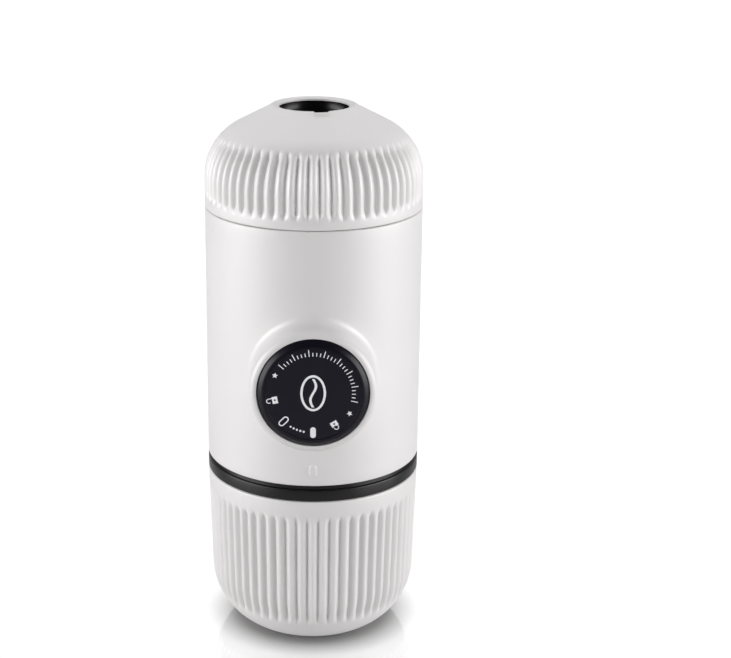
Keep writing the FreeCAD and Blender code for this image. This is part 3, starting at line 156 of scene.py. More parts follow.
# The floor glows white to the camera, with a painted contact shadow darkening it right under the cup,
# and it mirrors the maker a little. The mirror image fades in views from the side, where it would show
# the dim wall.
floor_half = 6.0
floor_z = -5e-5
floor_mesh = bpy.data.meshes.new("floor")
floor_mesh.from_pydata([(floor_half * x, floor_half * y, floor_z)
                        for x, y in ((-1, -1), (1, -1), (1, 1), (-1, 1))], [], [(0, 1, 2, 3)])
floor = bpy.data.objects.new("floor", floor_mesh)
scene.collection.objects.link(floor)
floor_look = new_material("pale_floor")
tree = floor_look.node_tree
path = node(tree, "ShaderNodeLightPath")
paint = node(tree, "ShaderNodeBsdfPrincipled", {"Base Color": (0.8, 0.8, 0.8, 1), "Roughness": 0.22,
                                                "Specular IOR Level": 0.35})
# Painted shadow: the more a floor point is closed in by the cup, the dimmer the glow the camera sees
# there.
open_air = node(tree, "ShaderNodeAmbientOcclusion", {"Distance": 0.015}, samples=16).outputs["AO"]
painted_contact_shadow = ramp(tree, open_air, 0.28, 0.72, 0.05, 1.03)
floor_glow_with_painted_shadow = node(tree, "ShaderNodeEmission", {"Color": (1, 1, 1, 1), "Strength": painted_contact_shadow})
mirror = node(tree, "ShaderNodeBsdfAnisotropic", {"Color": (1, 1, 1, 1), "Roughness": 0.12})
to_viewer = node(tree, "ShaderNodeNewGeometry").outputs["Incoming"]
viewer_behind = node(tree, "ShaderNodeSeparateXYZ", {0: to_viewer}).outputs["Y"]
mirror_share = ramp(tree, viewer_behind, -0.92, -0.7, 0.4, 0.0)
shown = node(tree, "ShaderNodeMixShader", {0: mirror_share, 1: floor_glow_with_painted_shadow.outputs[0], 2: mirror.outputs[0]})
both = node(tree, "ShaderNodeMixShader", {0: path.outputs["Is Camera Ray"], 1: paint.outputs[0],
                                          2: shown.outputs[0]})
node(tree, "ShaderNodeOutputMaterial", {"Surface": both.outputs[0]})
floor_mesh.materials.append(floor_look)


# ---- drinking cup
# Thin-walled white cup, injection moulded in one piece. Narrow valleys between 60 ribs give it grip, and
# it is pushed up over the tank until its rim meets the collar.
def skin(rows, closed=True):
    """Points and faces of a grid; closed joins its last column to its first."""
    count = len(rows[0])
    points = [tuple(p) for row in rows for p in row]
    faces = []
    for low in range(len(rows) - 1):
        for here in range(count if closed else count - 1):
            after = (here + 1) % count
            faces.append((low * count + here, low * count + after,
                          (low + 1) * count + after, (low + 1) * count + here))
    return points, faces


same_point = 2e-6            # metres, like the next
too_short = 1e-6
weld_sharp = math.radians(50)


def weld(name, skins, material):
    """One object from several skins that meet along their edges, in metres."""
    mesh = bpy.data.meshes.new(name)
    points, faces = [], []
    for some_points, some_faces in skins:
        start = len(points)
        points += [(x / 1000, y / 1000, z / 1000) for x, y, z in some_points]
        faces += [tuple(start + i for i in face) for face in some_faces]
    mesh.from_pydata(points, [], faces)
    built = bmesh.new()
    built.from_mesh(mesh)
    bmesh.ops.remove_doubles(built, verts=built.verts, dist=same_point)
    bmesh.ops.dissolve_degenerate(built, edges=built.edges, dist=too_short)
    bmesh.ops.recalc_face_normals(built, faces=built.faces)
    built.to_mesh(mesh)
    built.free()
    mesh.polygons.foreach_set("use_smooth", [True] * len(mesh.polygons))
    mesh.set_sharp_from_angle(angle=weld_sharp)
    mesh.materials.append(material)
    made = bpy.data.objects.new(name, mesh)
    scene.collection.objects.link(made)
    return made


def rounded(corners, steps=5):
    """Points along a closed section whose corners, each (across, along, radius), are rounded."""
    points = []
    for i, (across, along, radius) in enumerate(corners):
        corner = Vector((across, along))
        if radius == 0:
            points.append(corner)
            continue
        before = (Vector(corners[i - 1][:2]) - corner).normalized()
        after = (Vector(corners[(i + 1) % len(corners)][:2]) - corner).normalized()
        points += bend(corner, before, after, radius, steps)
    return points


def bend(corner, before, after, radius, steps):
    """Points of the arc that rounds a corner; before and after are unit vectors along its two sides."""
    half = before.angle(after) / 2
    centre = corner + (before + after).normalized() * (radius / math.sin(half))
    start = corner + before * (radius / math.tan(half)) - centre
    end = corner + after * (radius / math.tan(half)) - centre
    return [centre + swing(start, end, k / steps) for k in range(steps + 1)]


def swing(start, end, share):
    """Vector that has turned by a share of the way from start to end."""
    turn = start.angle(end)
    return (start * math.sin((1 - share) * turn) + end * math.sin(share * turn)) / math.sin(turn)


def angles(count):
    """Even steps once round."""
    return [2 * math.pi * k / count for k in range(count)]


def lathe(section, around, closed=False):
    """Skin of a section, (radius, height) points, turned about the Z axis."""
    rows = [[(r * math.cos(a), r * math.sin(a), z) for a in around] for r, z in section]
    return skin(rows + rows[:1] if closed else rows)


def ease(share):
    """Soft step from 0 to 1."""
    share = min(max(share, 0.0), 1.0)
    return share * share * (3 - 2 * share)


rib_count = 60
rib_columns = (-0.5, -0.46, -0.42, -0.35, -0.25, -0.15, -0.08, -0.03,
               0.03, 0.08, 0.15, 0.25, 0.35, 0.42, 0.46)
rib_foot_share = 0.14        # rounded part of a flank, at its foot


def rib_angles():
    """Columns round a ribbed piece, closest on the ribs and in the valleys; a rib is at the front."""
    pitch = 2 * math.pi / rib_count
    first_valley = -math.pi / 2 + pitch / 2
    return [first_valley + (i + share) * pitch for i in range(rib_count) for share in rib_columns]


def valley(angle):
    """1 in the middle of a valley, 0 on a rib. A rib falls away more and more steeply to both sides."""
    share = (angle + math.pi / 2) * rib_count / (2 * math.pi) - 0.5
    from_rib = 1 - 2 * abs(share - round(share))
    past_foot = max(from_rib - 1 + rib_foot_share, 0.0)
    return (from_rib ** 2 - past_foot ** 2 / rib_foot_share) / (1 - rib_foot_share)


def ribbed(section, cut_out=lambda angle: 0.0):
    """Skin of a closed section of (radius, height, depth of the valleys, slope, share of cut-out)."""
    rows = []
    for r, z, depth, slope, cut_share in section:
        row = []
        for a in rib_angles():
            cut = depth * valley(a)
            across = r - cut * math.cos(slope) + cut_share * cut_out(a)
            row.append((across * math.cos(a), across * math.sin(a), z - cut * math.sin(slope)))
        rows.append(row)
    return skin(rows + rows[:1])


def plain(points):
    """Section points without valleys or cut-out."""
    return [(p[0], p[1], 0.0, 0.0, 0.0) for p in points]


cup_rim_z = 48.0
cup_rim_r = 31.0
cup_shoulder_z = 16.6
cup_shoulder_r = 30.1
cup_corner_r = 19.4
cup_wall = 2.0
cup_floor = 2.2
cup_rim_foot = 45.5
cup_side_rows = (18, 20, 23, 27, 31, 35, 38, 40, 40.8, 41.4, 41.9, 42.3, 42.7, 43.1, 43.6, 45.0)
cup_valley_depth = 1.15
cup_valley_top = 43.6
cup_valley_fade = 3.2
cup_valley_end = math.radians(30)
cup_valley_foot_fade = math.radians(11)
cup_taper = math.atan((cup_rim_r - cup_shoulder_r) / (cup_rim_z - cup_shoulder_z))
cup_centre_r = cup_shoulder_r - cup_corner_r * math.cos(cup_taper)
cup_centre_z = cup_shoulder_z + cup_corner_r * math.sin(cup_taper)


def cup_arc(inset, floor, steps):
    """Points up the round foot, set in from the outside, from a floor height to the straight side."""
    radius = cup_corner_r - inset
    start = math.asin((cup_centre_z - floor) / radius)
    points = []
    for k in range(steps + 1):
        angle = start + (cup_taper - start) * k / steps
        points.append((cup_centre_r + radius * math.cos(angle),
                       cup_centre_z - radius * math.sin(angle), angle))
    return points


def cup_side(inset, z):
    """Radius of the straight side at a height."""
    low_r = cup_centre_r + (cup_corner_r - inset) * math.cos(cup_taper)
    low_z = cup_centre_z - (cup_corner_r - inset) * math.sin(cup_taper)
    return low_r + (z - low_z) * math.tan(cup_taper)


cup_section = plain([(0.0, 0.0)])
for r, z, angle in cup_arc(0, 0.0, 26):
    depth = cup_valley_depth * ease((cup_valley_end - angle) / cup_valley_foot_fade)
    cup_section.append((r, z, depth, -angle, 0.0))
for z in cup_side_rows:
    depth = cup_valley_depth * ease((cup_valley_top - z) / cup_valley_fade)
    cup_section.append((cup_side(0, z), z, depth, 0.0, 0.0))
cup_section += plain(rounded([
    (cup_side(0, cup_rim_foot), cup_rim_foot, 0),
    (cup_rim_r, cup_rim_z, 0.6),
    (cup_side(cup_wall, cup_rim_z), cup_rim_z, 0.5),
    (cup_side(cup_wall, cup_rim_foot), cup_rim_foot, 0),
]))
cup_section += plain(reversed(cup_arc(cup_wall, cup_floor, 14)))
cup_section += plain([(0.0, cup_floor)])


def moulded_skin():
    """Group for moulded plastic: a fine spark-eroded grain and a faint unevenness of tone."""
    group = new_group("moulded_skin",
                      (("Colour", "Color"), ("Mottle", "Float"), ("Grain", "Float"), ("Gloss", "Float")),
                      (("Colour", "Color"), ("Roughness", "Float"), ("Height", "Float")))
    given = node(group, "NodeGroupInput").outputs
    place = node(group, "ShaderNodeTexCoord").outputs["Object"]
    grain = node(group, "ShaderNodeTexNoise", {"Vector": place, "Scale": given["Grain"], "Detail": 3.0,
                                               "Roughness": 0.6}).outputs[0]
    cloud = node(group, "ShaderNodeTexNoise", {"Vector": place, "Scale": 38.0, "Detail": 4.0,
                                               "Roughness": 0.55}).outputs[0]
    drift = maths(group, "SUBTRACT", cloud, 0.5)
    tone = maths(group, "MULTIPLY_ADD", drift, given["Mottle"], 1.0)
    tint = node(group, "ShaderNodeVectorMath", {0: given["Colour"]}, operation="SCALE")
    group.links.new(tone, tint.inputs["Scale"])
    speck = maths(group, "MULTIPLY_ADD", grain, 0.10, -0.05)
    uneven = maths(group, "MULTIPLY_ADD", drift, 0.22, given["Gloss"])
    rough = maths(group, "ADD", uneven, speck)
    node(group, "NodeGroupOutput", {"Colour": tint.outputs[0], "Roughness": rough, "Height": grain})
    return group


moulded = moulded_skin()


def moulded_plastic(name, colour, roughness, grain, relief, mottle, **sockets):
    """Material of a moulded piece: grain is its fineness per metre, relief its depth in millimetres."""
    material = new_material(name)
    tree = material.node_tree
    skin_of = node(tree, "ShaderNodeGroup", node_tree=moulded)
    for key, value in (("Colour", (*colour, 1)), ("Mottle", mottle),
                       ("Grain", grain), ("Gloss", roughness)):
        skin_of.inputs[key].default_value = value
    relief_of = node(tree, "ShaderNodeBump", {"Height": skin_of.outputs["Height"], "Strength": 0.7,
                                              "Distance": relief / 1000})
    extra = {key.replace("_", " "): value for key, value in sockets.items()}
    look = node(tree, "ShaderNodeBsdfPrincipled", {
        "Base Color": skin_of.outputs["Colour"], "Roughness": skin_of.outputs["Roughness"],
        "Normal": relief_of.outputs[0], **extra})
    node(tree, "ShaderNodeOutputMaterial", {"Surface": look.outputs[0]})
    return material


white_plastic = moulded_plastic("white_plastic", (0.82, 0.805, 0.805), 0.5, 5200, 0.012, 0.05,
                                Metallic=0.13, Specular_IOR_Level=0.6)
cup = weld("drinking_cup_shell", [ribbed(cup_section)], white_plastic)
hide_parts("drinking_cup")
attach(cup, "cup_unit")


# ---- water tank
# Satin black tank with the collar that shows between cup and body. Its neck has a two-start thread, and
# a groove under the collar holds the ring that grips the cup.
def capped(rows):
    """Closed skin of a bar; each row goes once round it."""
    points, faces = skin(rows)
    around = len(rows[0])
    last = len(points) - around
    return points, faces + [tuple(reversed(range(around))), tuple(range(last, last + around))]


def ridge(first):
    """Skin of one thread ridge, from an angle round and up; it fades in and out at its ends."""
    steps_a_turn, fade_steps = 96, 5
    steps = int(steps_a_turn * ridge_turns)
    root = neck_r - ridge_sink
    rows = []
    for k in range(steps + 1):
        share = k / steps
        angle = first + 2 * math.pi * ridge_turns * share
        fade = ease(min(share, 1 - share) * steps / fade_steps)
        crest = neck_r - ridge_sink / 2 + (ridge_proud + ridge_sink / 2) * fade
        half = ridge_crest_half * fade + ridge_root_half * (1 - fade)
        z = ridge_low + thread_lead * ridge_turns * share
        around = [(root, -ridge_root_half), (crest, -half), (crest, half), (root, ridge_root_half)]
        rows.append([(r * math.cos(angle), r * math.sin(angle), z + dz) for r, dz in around])
    return capped(rows)


tank_inset = 3.5
tank_wall = 1.8
tank_floor = 2.7
tank_side_z = 20.0
collar_low = 48.2
collar_step_z = 51.6
collar_top = 52.7
collar_r = 31.0
collar_step_r = 30.25
neck_r = 26.0
neck_in_r = 24.2
neck_top = 61.7
spigot_low = 40.2
spigot_inset = 2.4
ring_low = 43.25
ring_high = 45.15
ring_groove_r = 27.03
thread_lead = 6.0
ridge_low = 54.7
ridge_proud = 0.9
ridge_sink = 0.3
ridge_root_half = 0.65
ridge_crest_half = 0.3
ridge_turns = 0.9
tank_section = [Vector((0, tank_floor))]
tank_section += [Vector(p[:2]) for p in cup_arc(tank_inset, tank_floor, 16)]
tank_section += rounded([
    (cup_side(tank_inset, tank_side_z), tank_side_z, 0),
    (cup_side(tank_inset, spigot_low), spigot_low, 0.2),
    (cup_side(spigot_inset, spigot_low), spigot_low, 0.25),
    (cup_side(spigot_inset, ring_low), ring_low, 0.2),
    (ring_groove_r, ring_low, 0.2),
    (ring_groove_r, ring_high, 0.2),
    (cup_side(spigot_inset, ring_high), ring_high, 0.2),
    (cup_side(spigot_inset, collar_low), collar_low, 0.1),
    (collar_r, collar_low, 0.3),
    (collar_r, collar_step_z, 0.35),
    (collar_step_r, collar_step_z, 0.15),
    (collar_step_r, collar_top, 0.2),
    (neck_r, collar_top, 0.3),
    (neck_r, neck_top, 0.4),
    (neck_in_r, neck_top, 0.4),
    (neck_in_r, spigot_low, 0.3),
    (cup_side(tank_inset + tank_wall, spigot_low), spigot_low, 0.3),
    (cup_side(tank_inset + tank_wall, tank_side_z), tank_side_z, 0),
])
inside = cup_arc(tank_inset + tank_wall, tank_floor + tank_wall, 12)
tank_section += [Vector(p[:2]) for p in reversed(inside)]
tank_section.append(Vector((0, tank_floor + tank_wall)))
tank_plastic = moulded_plastic("tank_plastic", (0.0022, 0.0018, 0.0032), 0.34, 4200, 0.02, 0.3,
                               Specular_IOR_Level=0.5)
tank_skins = [lathe(tank_section, angles(240)), ridge(0), ridge(math.pi)]
tank = weld("water_tank_shell", tank_skins, tank_plastic)
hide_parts("water_tank")
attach(tank, "tank_unit")


# ---- body shell
# White cylinder, moulded in one piece with the flared collar round the knob. It is pushed over the
# two chassis halves, and its upper and lower edges are barely rounded.
shell_r = 31.0
shell_wall = 2.0
shell_in_r = shell_r - shell_wall
shell_low = 52.9
shell_high = 126.9
shell_edge = 0.4
pump_z = 83.65
knob_collar_r = 17.5
knob_collar_front = -38.8
knob_collar_edge = 1.7
flare_r = 2.6
lip_r = 15.5
lip_edge = 0.12
sleeve_seat_y = -31.0
sleeve_bore_r = 16.95
front_half = math.radians(64)
front_top_columns = 48
front_side_rows = 56
back_columns = 96
flare_steps = 10


def on_shell(radius, turn, z):
    """Point of an upright cylinder; turn is counted from the front towards the right."""
    return Vector((radius * math.sin(turn), -radius * math.cos(turn), z))


def on_pump(radius, angle, y):
    """Point beside the pump's axis; angle is counted from the right, upwards."""
    return Vector((radius * math.cos(angle), y, pump_z + radius * math.sin(angle)))


def front_border():
    """(turn, height) points round the front part of the shell, from its lower right corner upwards."""
    low, high = shell_low + shell_edge, shell_high - shell_edge
    right = [(front_half, low + (high - low) * k / front_side_rows) for k in range(front_side_rows)]
    top = [(front_half * (1 - 2 * k / front_top_columns), high) for k in range(front_top_columns)]
    left = [(-front_half, high - (high - low) * k / front_side_rows) for k in range(front_side_rows)]
    bottom = [(-front_half * (1 - 2 * k / front_top_columns), low) for k in range(front_top_columns)]
    return right + top + left + bottom


def flare(angle):
    """Points from the collar's wall to the cylinder, rolled round a ball in the corner between them."""
    across = (knob_collar_r + flare_r) * math.cos(angle)
    ball = Vector((across, -math.sqrt((shell_r + flare_r) ** 2 - across ** 2),
                   pump_z + (knob_collar_r + flare_r) * math.sin(angle)))
    to_collar = Vector((-math.cos(angle), 0, -math.sin(angle)))
    to_shell = Vector((-ball.x, -ball.y, 0)).normalized()
    return [ball + flare_r * swing(to_collar, to_shell, k / flare_steps) for k in range(flare_steps + 1)]


def front_column(turn, z):
    """Outside points from the bore, over the lip and the collar, down its wall and out to the border."""
    angle = math.atan2(z - pump_z, shell_r * math.sin(turn))
    inner_y = -math.sqrt(shell_in_r ** 2 - (sleeve_bore_r * math.cos(angle)) ** 2)
    column = [on_pump(sleeve_bore_r, angle, inner_y), on_pump(sleeve_bore_r, angle, sleeve_seat_y),
              on_pump(lip_r, angle, sleeve_seat_y)]
    outward = Vector((math.cos(angle), 0, math.sin(angle)))
    back = Vector((0, 1, 0))
    column += bend(on_pump(lip_r, angle, knob_collar_front), back, outward, lip_edge, 4)
    column += bend(on_pump(knob_collar_r, angle, knob_collar_front), -outward, back, knob_collar_edge, 9)
    wall_front = column[-1]
    roll = flare(angle)
    wall_steps = 5
    column += [wall_front.lerp(roll[0], k / wall_steps) for k in range(1, wall_steps)] + roll
    foot = column[-1]
    foot_turn = math.asin(foot.x / shell_r)
    outer_steps = 9
    for k in range(1, outer_steps + 1):
        share = k / outer_steps
        column.append(on_shell(shell_r, foot_turn + (turn - foot_turn) * share,
                               foot.z + (z - foot.z) * share))
    return column


def inner_column(turn, z):
    """Points of the inside from the bore out to the border."""
    angle = math.atan2(z - pump_z, shell_r * math.sin(turn))
    bore_turn = math.asin(sleeve_bore_r * math.cos(angle) / shell_in_r)
    bore_z = pump_z + sleeve_bore_r * math.sin(angle)
    steps = 6
    return [on_shell(shell_in_r, bore_turn + (turn - bore_turn) * k / steps,
                     bore_z + (z - bore_z) * k / steps) for k in range(steps + 1)]


def swapped(columns):
    """Rows of a grid that is given by its columns."""
    return [list(row) for row in zip(*columns)]


def shell_rim(z, inwards):
    """Skin of the shell's upper or lower edge."""
    path = rounded([(shell_r, z - inwards * shell_edge * 2, 0), (shell_r, z, shell_edge),
                    (shell_in_r, z, shell_edge * 0.75),
                    (shell_in_r, z - inwards * shell_edge * 2, 0)])[1:-1]
    foot = z - inwards * shell_edge
    path = [Vector((shell_r, foot))] + path + [Vector((shell_in_r, foot))]
    return skin([[on_shell(p.x, t, p.y) for t in shell_turns] for p in path])


border = front_border()
back_span = 2 * math.pi - 2 * front_half
shell_turns = [front_half - 2 * front_half * k / front_top_columns for k in range(front_top_columns)]
shell_turns += [-front_half - back_span * k / back_columns for k in range(back_columns)]
back_turns = shell_turns[front_top_columns:] + [front_half - 2 * math.pi]
side_heights = [z for _, z in border[:front_side_rows]] + [shell_high - shell_edge]
shell_skins = [
    skin(swapped([front_column(*spot) for spot in border])),
    skin(swapped([inner_column(*spot) for spot in border])),
    skin([[on_shell(shell_r, t, z) for t in back_turns] for z in side_heights], closed=False),
    skin([[on_shell(shell_in_r, t, z) for t in back_turns] for z in side_heights], closed=False),
    shell_rim(shell_high, 1),
    shell_rim(shell_low, -1),
]
shell = weld("body_casing", shell_skins, white_plastic)
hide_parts("body_shell")
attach(shell, "main_body")


# ---- index mark
# Small half-round bar with round ends, moulded on the shell under the knob. The marks printed on the
# knob point to it.
mark_width = 2.4
mark_height = 4.0
mark_z = 57.5
mark_proud = 0.3


def pill(width, height, inset=0.0):
    """Outline of an upright mark with round ends, set in by inset, about its own middle."""
    radius = width / 2 - inset
    rise = height / 2 - width / 2
    steps = 40
    points = []
    for k in range(steps):
        angle = 2 * math.pi * (k + 0.5) / steps
        points.append((radius * math.cos(angle),
                       math.copysign(rise, math.sin(angle)) + radius * math.sin(angle)))
    return points


def mark_row(rise, inset=0.0):
    """Outline of the mark, laid on the shell at a height over it."""
    outline = pill(mark_width, mark_height, inset)
    return [on_shell(shell_r + rise, x / shell_r, mark_z + z) for x, z in outline]


mark_rows = [mark_row(-mark_proud)]
mark_inset = mark_width / 2 - 0.001
mark_steps = 10
for k in range(mark_steps + 1):
    climb = math.pi / 2 * k / mark_steps
    mark_rows.append(mark_row(mark_proud * math.sin(climb), mark_inset * (1 - math.cos(climb))))
mark = weld("index_mark", [skin(mark_rows)], white_plastic)
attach(mark, "main_body")


# ---- knob
# Near-black button with a soft bevel. Its long skirt slides in the guide sleeve, and two lugs at its end
# turn in the sleeve's slots.
knob_r = 15.35
knob_front = -40.0
knob_back = -7.0
knob_lip = 0.12
knob_bevel_across = 1.35
knob_bevel_along = 1.25
knob_face_r = 13.05
knob_web_front = -39.2
knob_web_back = -35.2
knob_inner_r = 13.85
washer_recess_r = 5.3
washer_recess_y = -37.0
knob_bore_r = 3.05
lug_root_r = knob_r - 0.7    # inside the skirt's wall
lug_r = 16.75
lug_front = -9.0
lug_half = math.radians(9)


def pump_lathe(section, around):
    """Skin of a closed section, (radius, y) points, turned about the pump's axis."""
    rows = [[on_pump(r, a, y) for a in around] for r, y in section]
    return skin(rows + rows[:1])


knob_section = rounded([
    (knob_face_r, knob_front, knob_lip),
    (knob_r - knob_bevel_across, knob_front + knob_lip, 1.6),
    (knob_r, knob_front + knob_bevel_along, 0.9),
    (knob_r, knob_back, 0.3),
    (knob_inner_r, knob_back, 0.3),
    (knob_inner_r, knob_web_back, 0.4),
    (knob_bore_r, knob_web_back, 0.2),
    (knob_bore_r, washer_recess_y, 0.1),
    (washer_recess_r, washer_recess_y, 0.2),
    (washer_recess_r, knob_web_front, 0.1),
    (knob_face_r, knob_web_front, 0.1),
])


def lug(middle_angle):
    """Skin of the lug at an angle round the skirt, rooted in its wall."""
    steps = 8
    rows = []
    for k in range(steps + 1):
        angle = middle_angle + lug_half * (2 * k / steps - 1)
        rows.append([on_pump(lug_root_r, angle, lug_front), on_pump(lug_r, angle, lug_front),
                     on_pump(lug_r, angle, knob_back), on_pump(lug_root_r, angle, knob_back)])
    return capped(rows)


knob_plastic = moulded_plastic("knob_plastic", (0.0045, 0.0036, 0.0095), 0.33, 3800, 0.012, 0.3,
                               Specular_IOR_Level=0.3)
knob = weld("knob_button", [pump_lathe(knob_section, angles(200)), lug(0), lug(math.pi)], knob_plastic)
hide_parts("knob")
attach(knob, "knob_unit")


# ---- knob face
# Flat satin disc let into the knob, pad-printed in white: a solid and an open oblong mark with dots
# between them, a shut and an open padlock and two stars beside them, a dial of fine ticks and a bean.
face_r = 13.03
face_inner_r = 6.0           # ring of points on the flat
face_front = -39.94
face_back = -39.2
face_section = [Vector((0, face_front))] + rounded([
    (face_inner_r, face_front, 0),
    (face_r, face_front, 0.1),
    (face_r, face_back, 0),
    (face_inner_r, face_back, 0),
])
face_section.append(Vector((0, face_back)))
face_plastic = moulded_plastic("knob_face_plastic", (0.0095, 0.0088, 0.0165), 0.40, 4800, 0.008, 0.2,
                               Specular_IOR_Level=0.22)
face_rows = [[on_pump(r, a, y) for a in angles(160)] for r, y in face_section]
face = weld("knob_face_disc", [skin(face_rows)], face_plastic)
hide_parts("knob_face")
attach(face, "knob_unit")


def placed(outline, radius, degrees):
    """Outline moved out to a place on the face; its own up points away from the middle."""
    angle = math.radians(degrees)
    turn = angle - math.pi / 2
    return [(radius * math.cos(angle) + x * math.cos(turn) - y * math.sin(turn),
             radius * math.sin(angle) + x * math.sin(turn) + y * math.cos(turn)) for x, y in outline]


def ellipse(width, height, y=0.0, steps=16):
    """Round or oval outline whose middle is y up."""
    return [(width / 2 * math.cos(a), y + height / 2 * math.sin(a)) for a in angles(steps)]


def star(radius):
    """Five-pointed star with one point up."""
    points = []
    for k in range(10):
        out = radius * (1.0 if k % 2 == 0 else 0.45)
        angle = math.pi / 2 + k * math.pi / 5
        points.append((out * math.cos(angle), out * math.sin(angle)))
    return points


def bar(width, height, y):
    """Upright rectangle whose middle is y up."""
    return [(-width / 2, y - height / 2), (width / 2, y - height / 2),
            (width / 2, y + height / 2), (-width / 2, y + height / 2)]


def shackle(lift):
    """Open bow of a padlock, a band of even width; lift raises it and its free end."""
    outer, inner, foot, bow = 0.72, 0.46, 0.15, 0.55
    arc = [math.pi * k / 12 for k in range(13)]
    left_foot = foot + lift
    return ([(outer, foot)] + [(outer * math.cos(a), bow + lift + outer * math.sin(a)) for a in arc]
            + [(-outer, left_foot), (-inner, left_foot)]
            + [(-inner * math.cos(a), bow + lift + inner * math.sin(a)) for a in arc] + [(inner, foot)])


def bean_seam():
    """Bent band down the middle of the bean."""
    half, bent, reach = 0.36, 0.75, bean_height / 2 - 1.1
    heights = [reach * (k / 12 - 1) for k in range(25)]
    side = [(bent * math.sin(math.pi * y / reach), y) for y in heights]
    return [(x - half, y) for x, y in side] + [(x + half, y) for x, y in reversed(side)]


oblong_radius = 11.45        # places are a radius and an angle in degrees from the right
solid_mark, solid_at = (1.55, 3.15), 270
open_mark, open_inside, open_at = (1.75, 3.3), (1.08, 2.63), 225.5
dot_size = 0.6
dot_radius = 11.5
dots_at = (237.8, 242.6, 247.5, 252.4, 257.2)
star_size = 0.85
star_radius = 11.55
stars_at = (154, -30.4)
lock_case = (2.0, 1.5)
keyhole_size = 0.52
lock_radius = 11.2
lock_y = -0.6
shut_at, open_lock_at, bow_lift = -57, 191, 0.55
tick_width = 0.24
long_tick, short_tick = 1.9, 1.05
tick_radius = 11.5
tick_foot = -0.95
tick_count = 29
tick_pitch = 5.4
first_tick = -12
bean_width = 7.0
bean_height = 10.4
bean_line = 0.65
ink_thickness = 0.045
print_up = 0.45

outlines = [placed(pill(*solid_mark), oblong_radius, solid_at)]
outlines += [placed(pill(*size), oblong_radius, open_at) for size in (open_mark, open_inside)]
outlines += [placed(ellipse(dot_size, dot_size), dot_radius, degrees) for degrees in dots_at]
outlines += [placed(star(star_size), star_radius, degrees) for degrees in stars_at]
for degrees, lift in ((shut_at, 0.0), (open_lock_at, bow_lift)):
    for outline in (bar(*lock_case, lock_y), ellipse(keyhole_size, keyhole_size, lock_y), shackle(lift)):
        outlines.append(placed(outline, lock_radius, degrees))
for k in range(tick_count):
    length = long_tick if k % 4 == 0 else short_tick
    outlines.append(placed(bar(tick_width, length, length / 2 + tick_foot), tick_radius,
                           first_tick + k * tick_pitch))
outlines += [ellipse(bean_width - 2 * line, bean_height - 2 * line, steps=64) for line in (0, bean_line)]
outlines.append(bean_seam())

print_curve = bpy.data.curves.new("knob_print", "CURVE")
print_curve.dimensions = "2D"
print_curve.fill_mode = "BOTH"
print_curve.extrude = ink_thickness / 2
for outline in outlines:
    spline = print_curve.splines.new("POLY")
    spline.points.add(len(outline) - 1)
    for point, (x, y) in zip(spline.points, outline):
        point.co = (x, y, 0, 1)
    spline.use_cyclic_u = True
print_object = bpy.data.objects.new("knob_print_outline", print_curve)
scene.collection.objects.link(print_object)
evaluated = print_object.evaluated_get(bpy.context.evaluated_depsgraph_get())
flat_print = bpy.data.meshes.new_from_object(evaluated)
bpy.data.objects.remove(print_object)
ink_points = [on_pump(0, 0, face_front - v.co.z) + Vector((v.co.x, 0, v.co.y + print_up))
              for v in flat_print.vertices]
ink_faces = [tuple(p.vertices) for p in flat_print.polygons]
white_ink = moulded_plastic("white_ink", (0.95, 0.95, 0.98), 0.45, 9000, 0.004, 0.15)
ink = weld("knob_print", [(ink_points, ink_faces)], white_ink)
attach(ink, "knob_unit")


# ---- head cover
# White ribbed dome over the brewing head, moulded in one piece. Its valleys fade out on the shoulder,
# and a thumb notch is cut in the edge of the outlet hole.
cover_low = 127.1
cover_low_band = 2.0
cover_edge = 0.4
cover_side_rows = (129.2, 129.6, 130.0, 130.4, 130.8, 131.2, 131.6, 132.1, 133.2, 134.4)
cover_r = 31.0
cover_wall = 2.0
cover_shoulder_z = 135.6
cover_corner_r = 16.4
cover_slope = math.radians(27.75)
cover_rim_r = 13.8
cover_hole_r = 9.9
cover_top = 156.0
cover_crest_r = 11.4
cover_roll = 0.7
cover_recess_r = 12.43
cover_recess_z = 154.8
cover_ceiling = 153.0
cover_valley_depth = 1.15
cover_valley_low = 129.2
cover_valley_fade = 3.0
cover_valley_end = math.radians(49)
cover_valley_top_fade = math.radians(13)
notch_middle = math.radians(-90 + 9.5)
notch_half_width = 2.2
notch_depth = 2.3
notch_out_r = cover_rim_r - 0.4   # where the cut runs out, just inside the rim


def cover_arc(inset, steps):
    """Points up the shoulder from the straight side to the cone, set in from the outside."""
    radius = cover_corner_r - inset
    points = []
    for k in range(steps + 1):
        angle = (math.pi / 2 - cover_slope) * k / steps
        points.append((cover_r - cover_corner_r + radius * math.cos(angle),
                       cover_shoulder_z + radius * math.sin(angle), angle))
    return points


def notch(angle):
    """How far the hole's edge is cut out at an angle."""
    across = cover_hole_r * (angle - notch_middle) / notch_half_width
    if abs(across) >= 1:
        return 0.0
    return notch_depth * (1 - abs(across) ** 5) ** 0.4


cover_section = plain(rounded([
    (cover_r - cover_wall, cover_low + cover_low_band, 0),
    (cover_r - cover_wall, cover_low, 0.25),
    (cover_r, cover_low, cover_edge),
    (cover_r, cover_low + cover_low_band, 0),
]))
for z in cover_side_rows:
    depth = cover_valley_depth * ease((z - cover_valley_low) / cover_valley_fade)
    cover_section.append((cover_r, z, depth, 0.0, 0.0))
shoulder = cover_arc(0, 36)
for r, z, angle in shoulder:
    depth = cover_valley_depth * ease((cover_valley_end - angle) / cover_valley_top_fade)
    cover_section.append((r, z, depth, angle, 0.0))
cone_r, cone_z, _ = shoulder[-1]
cone_rise = math.tan(cover_slope)
cone_step = 2
hole = rounded([
    (cone_r - cone_step, cone_z + cone_step * cone_rise, 0),
    (cover_rim_r, cone_z + (cone_r - cover_rim_r) * cone_rise, 2.5),
    (cover_crest_r, cover_top, 1.6),
    (cover_hole_r, cover_top - cover_roll, 0.25),
    (cover_hole_r, cover_recess_z, 0.1),
])
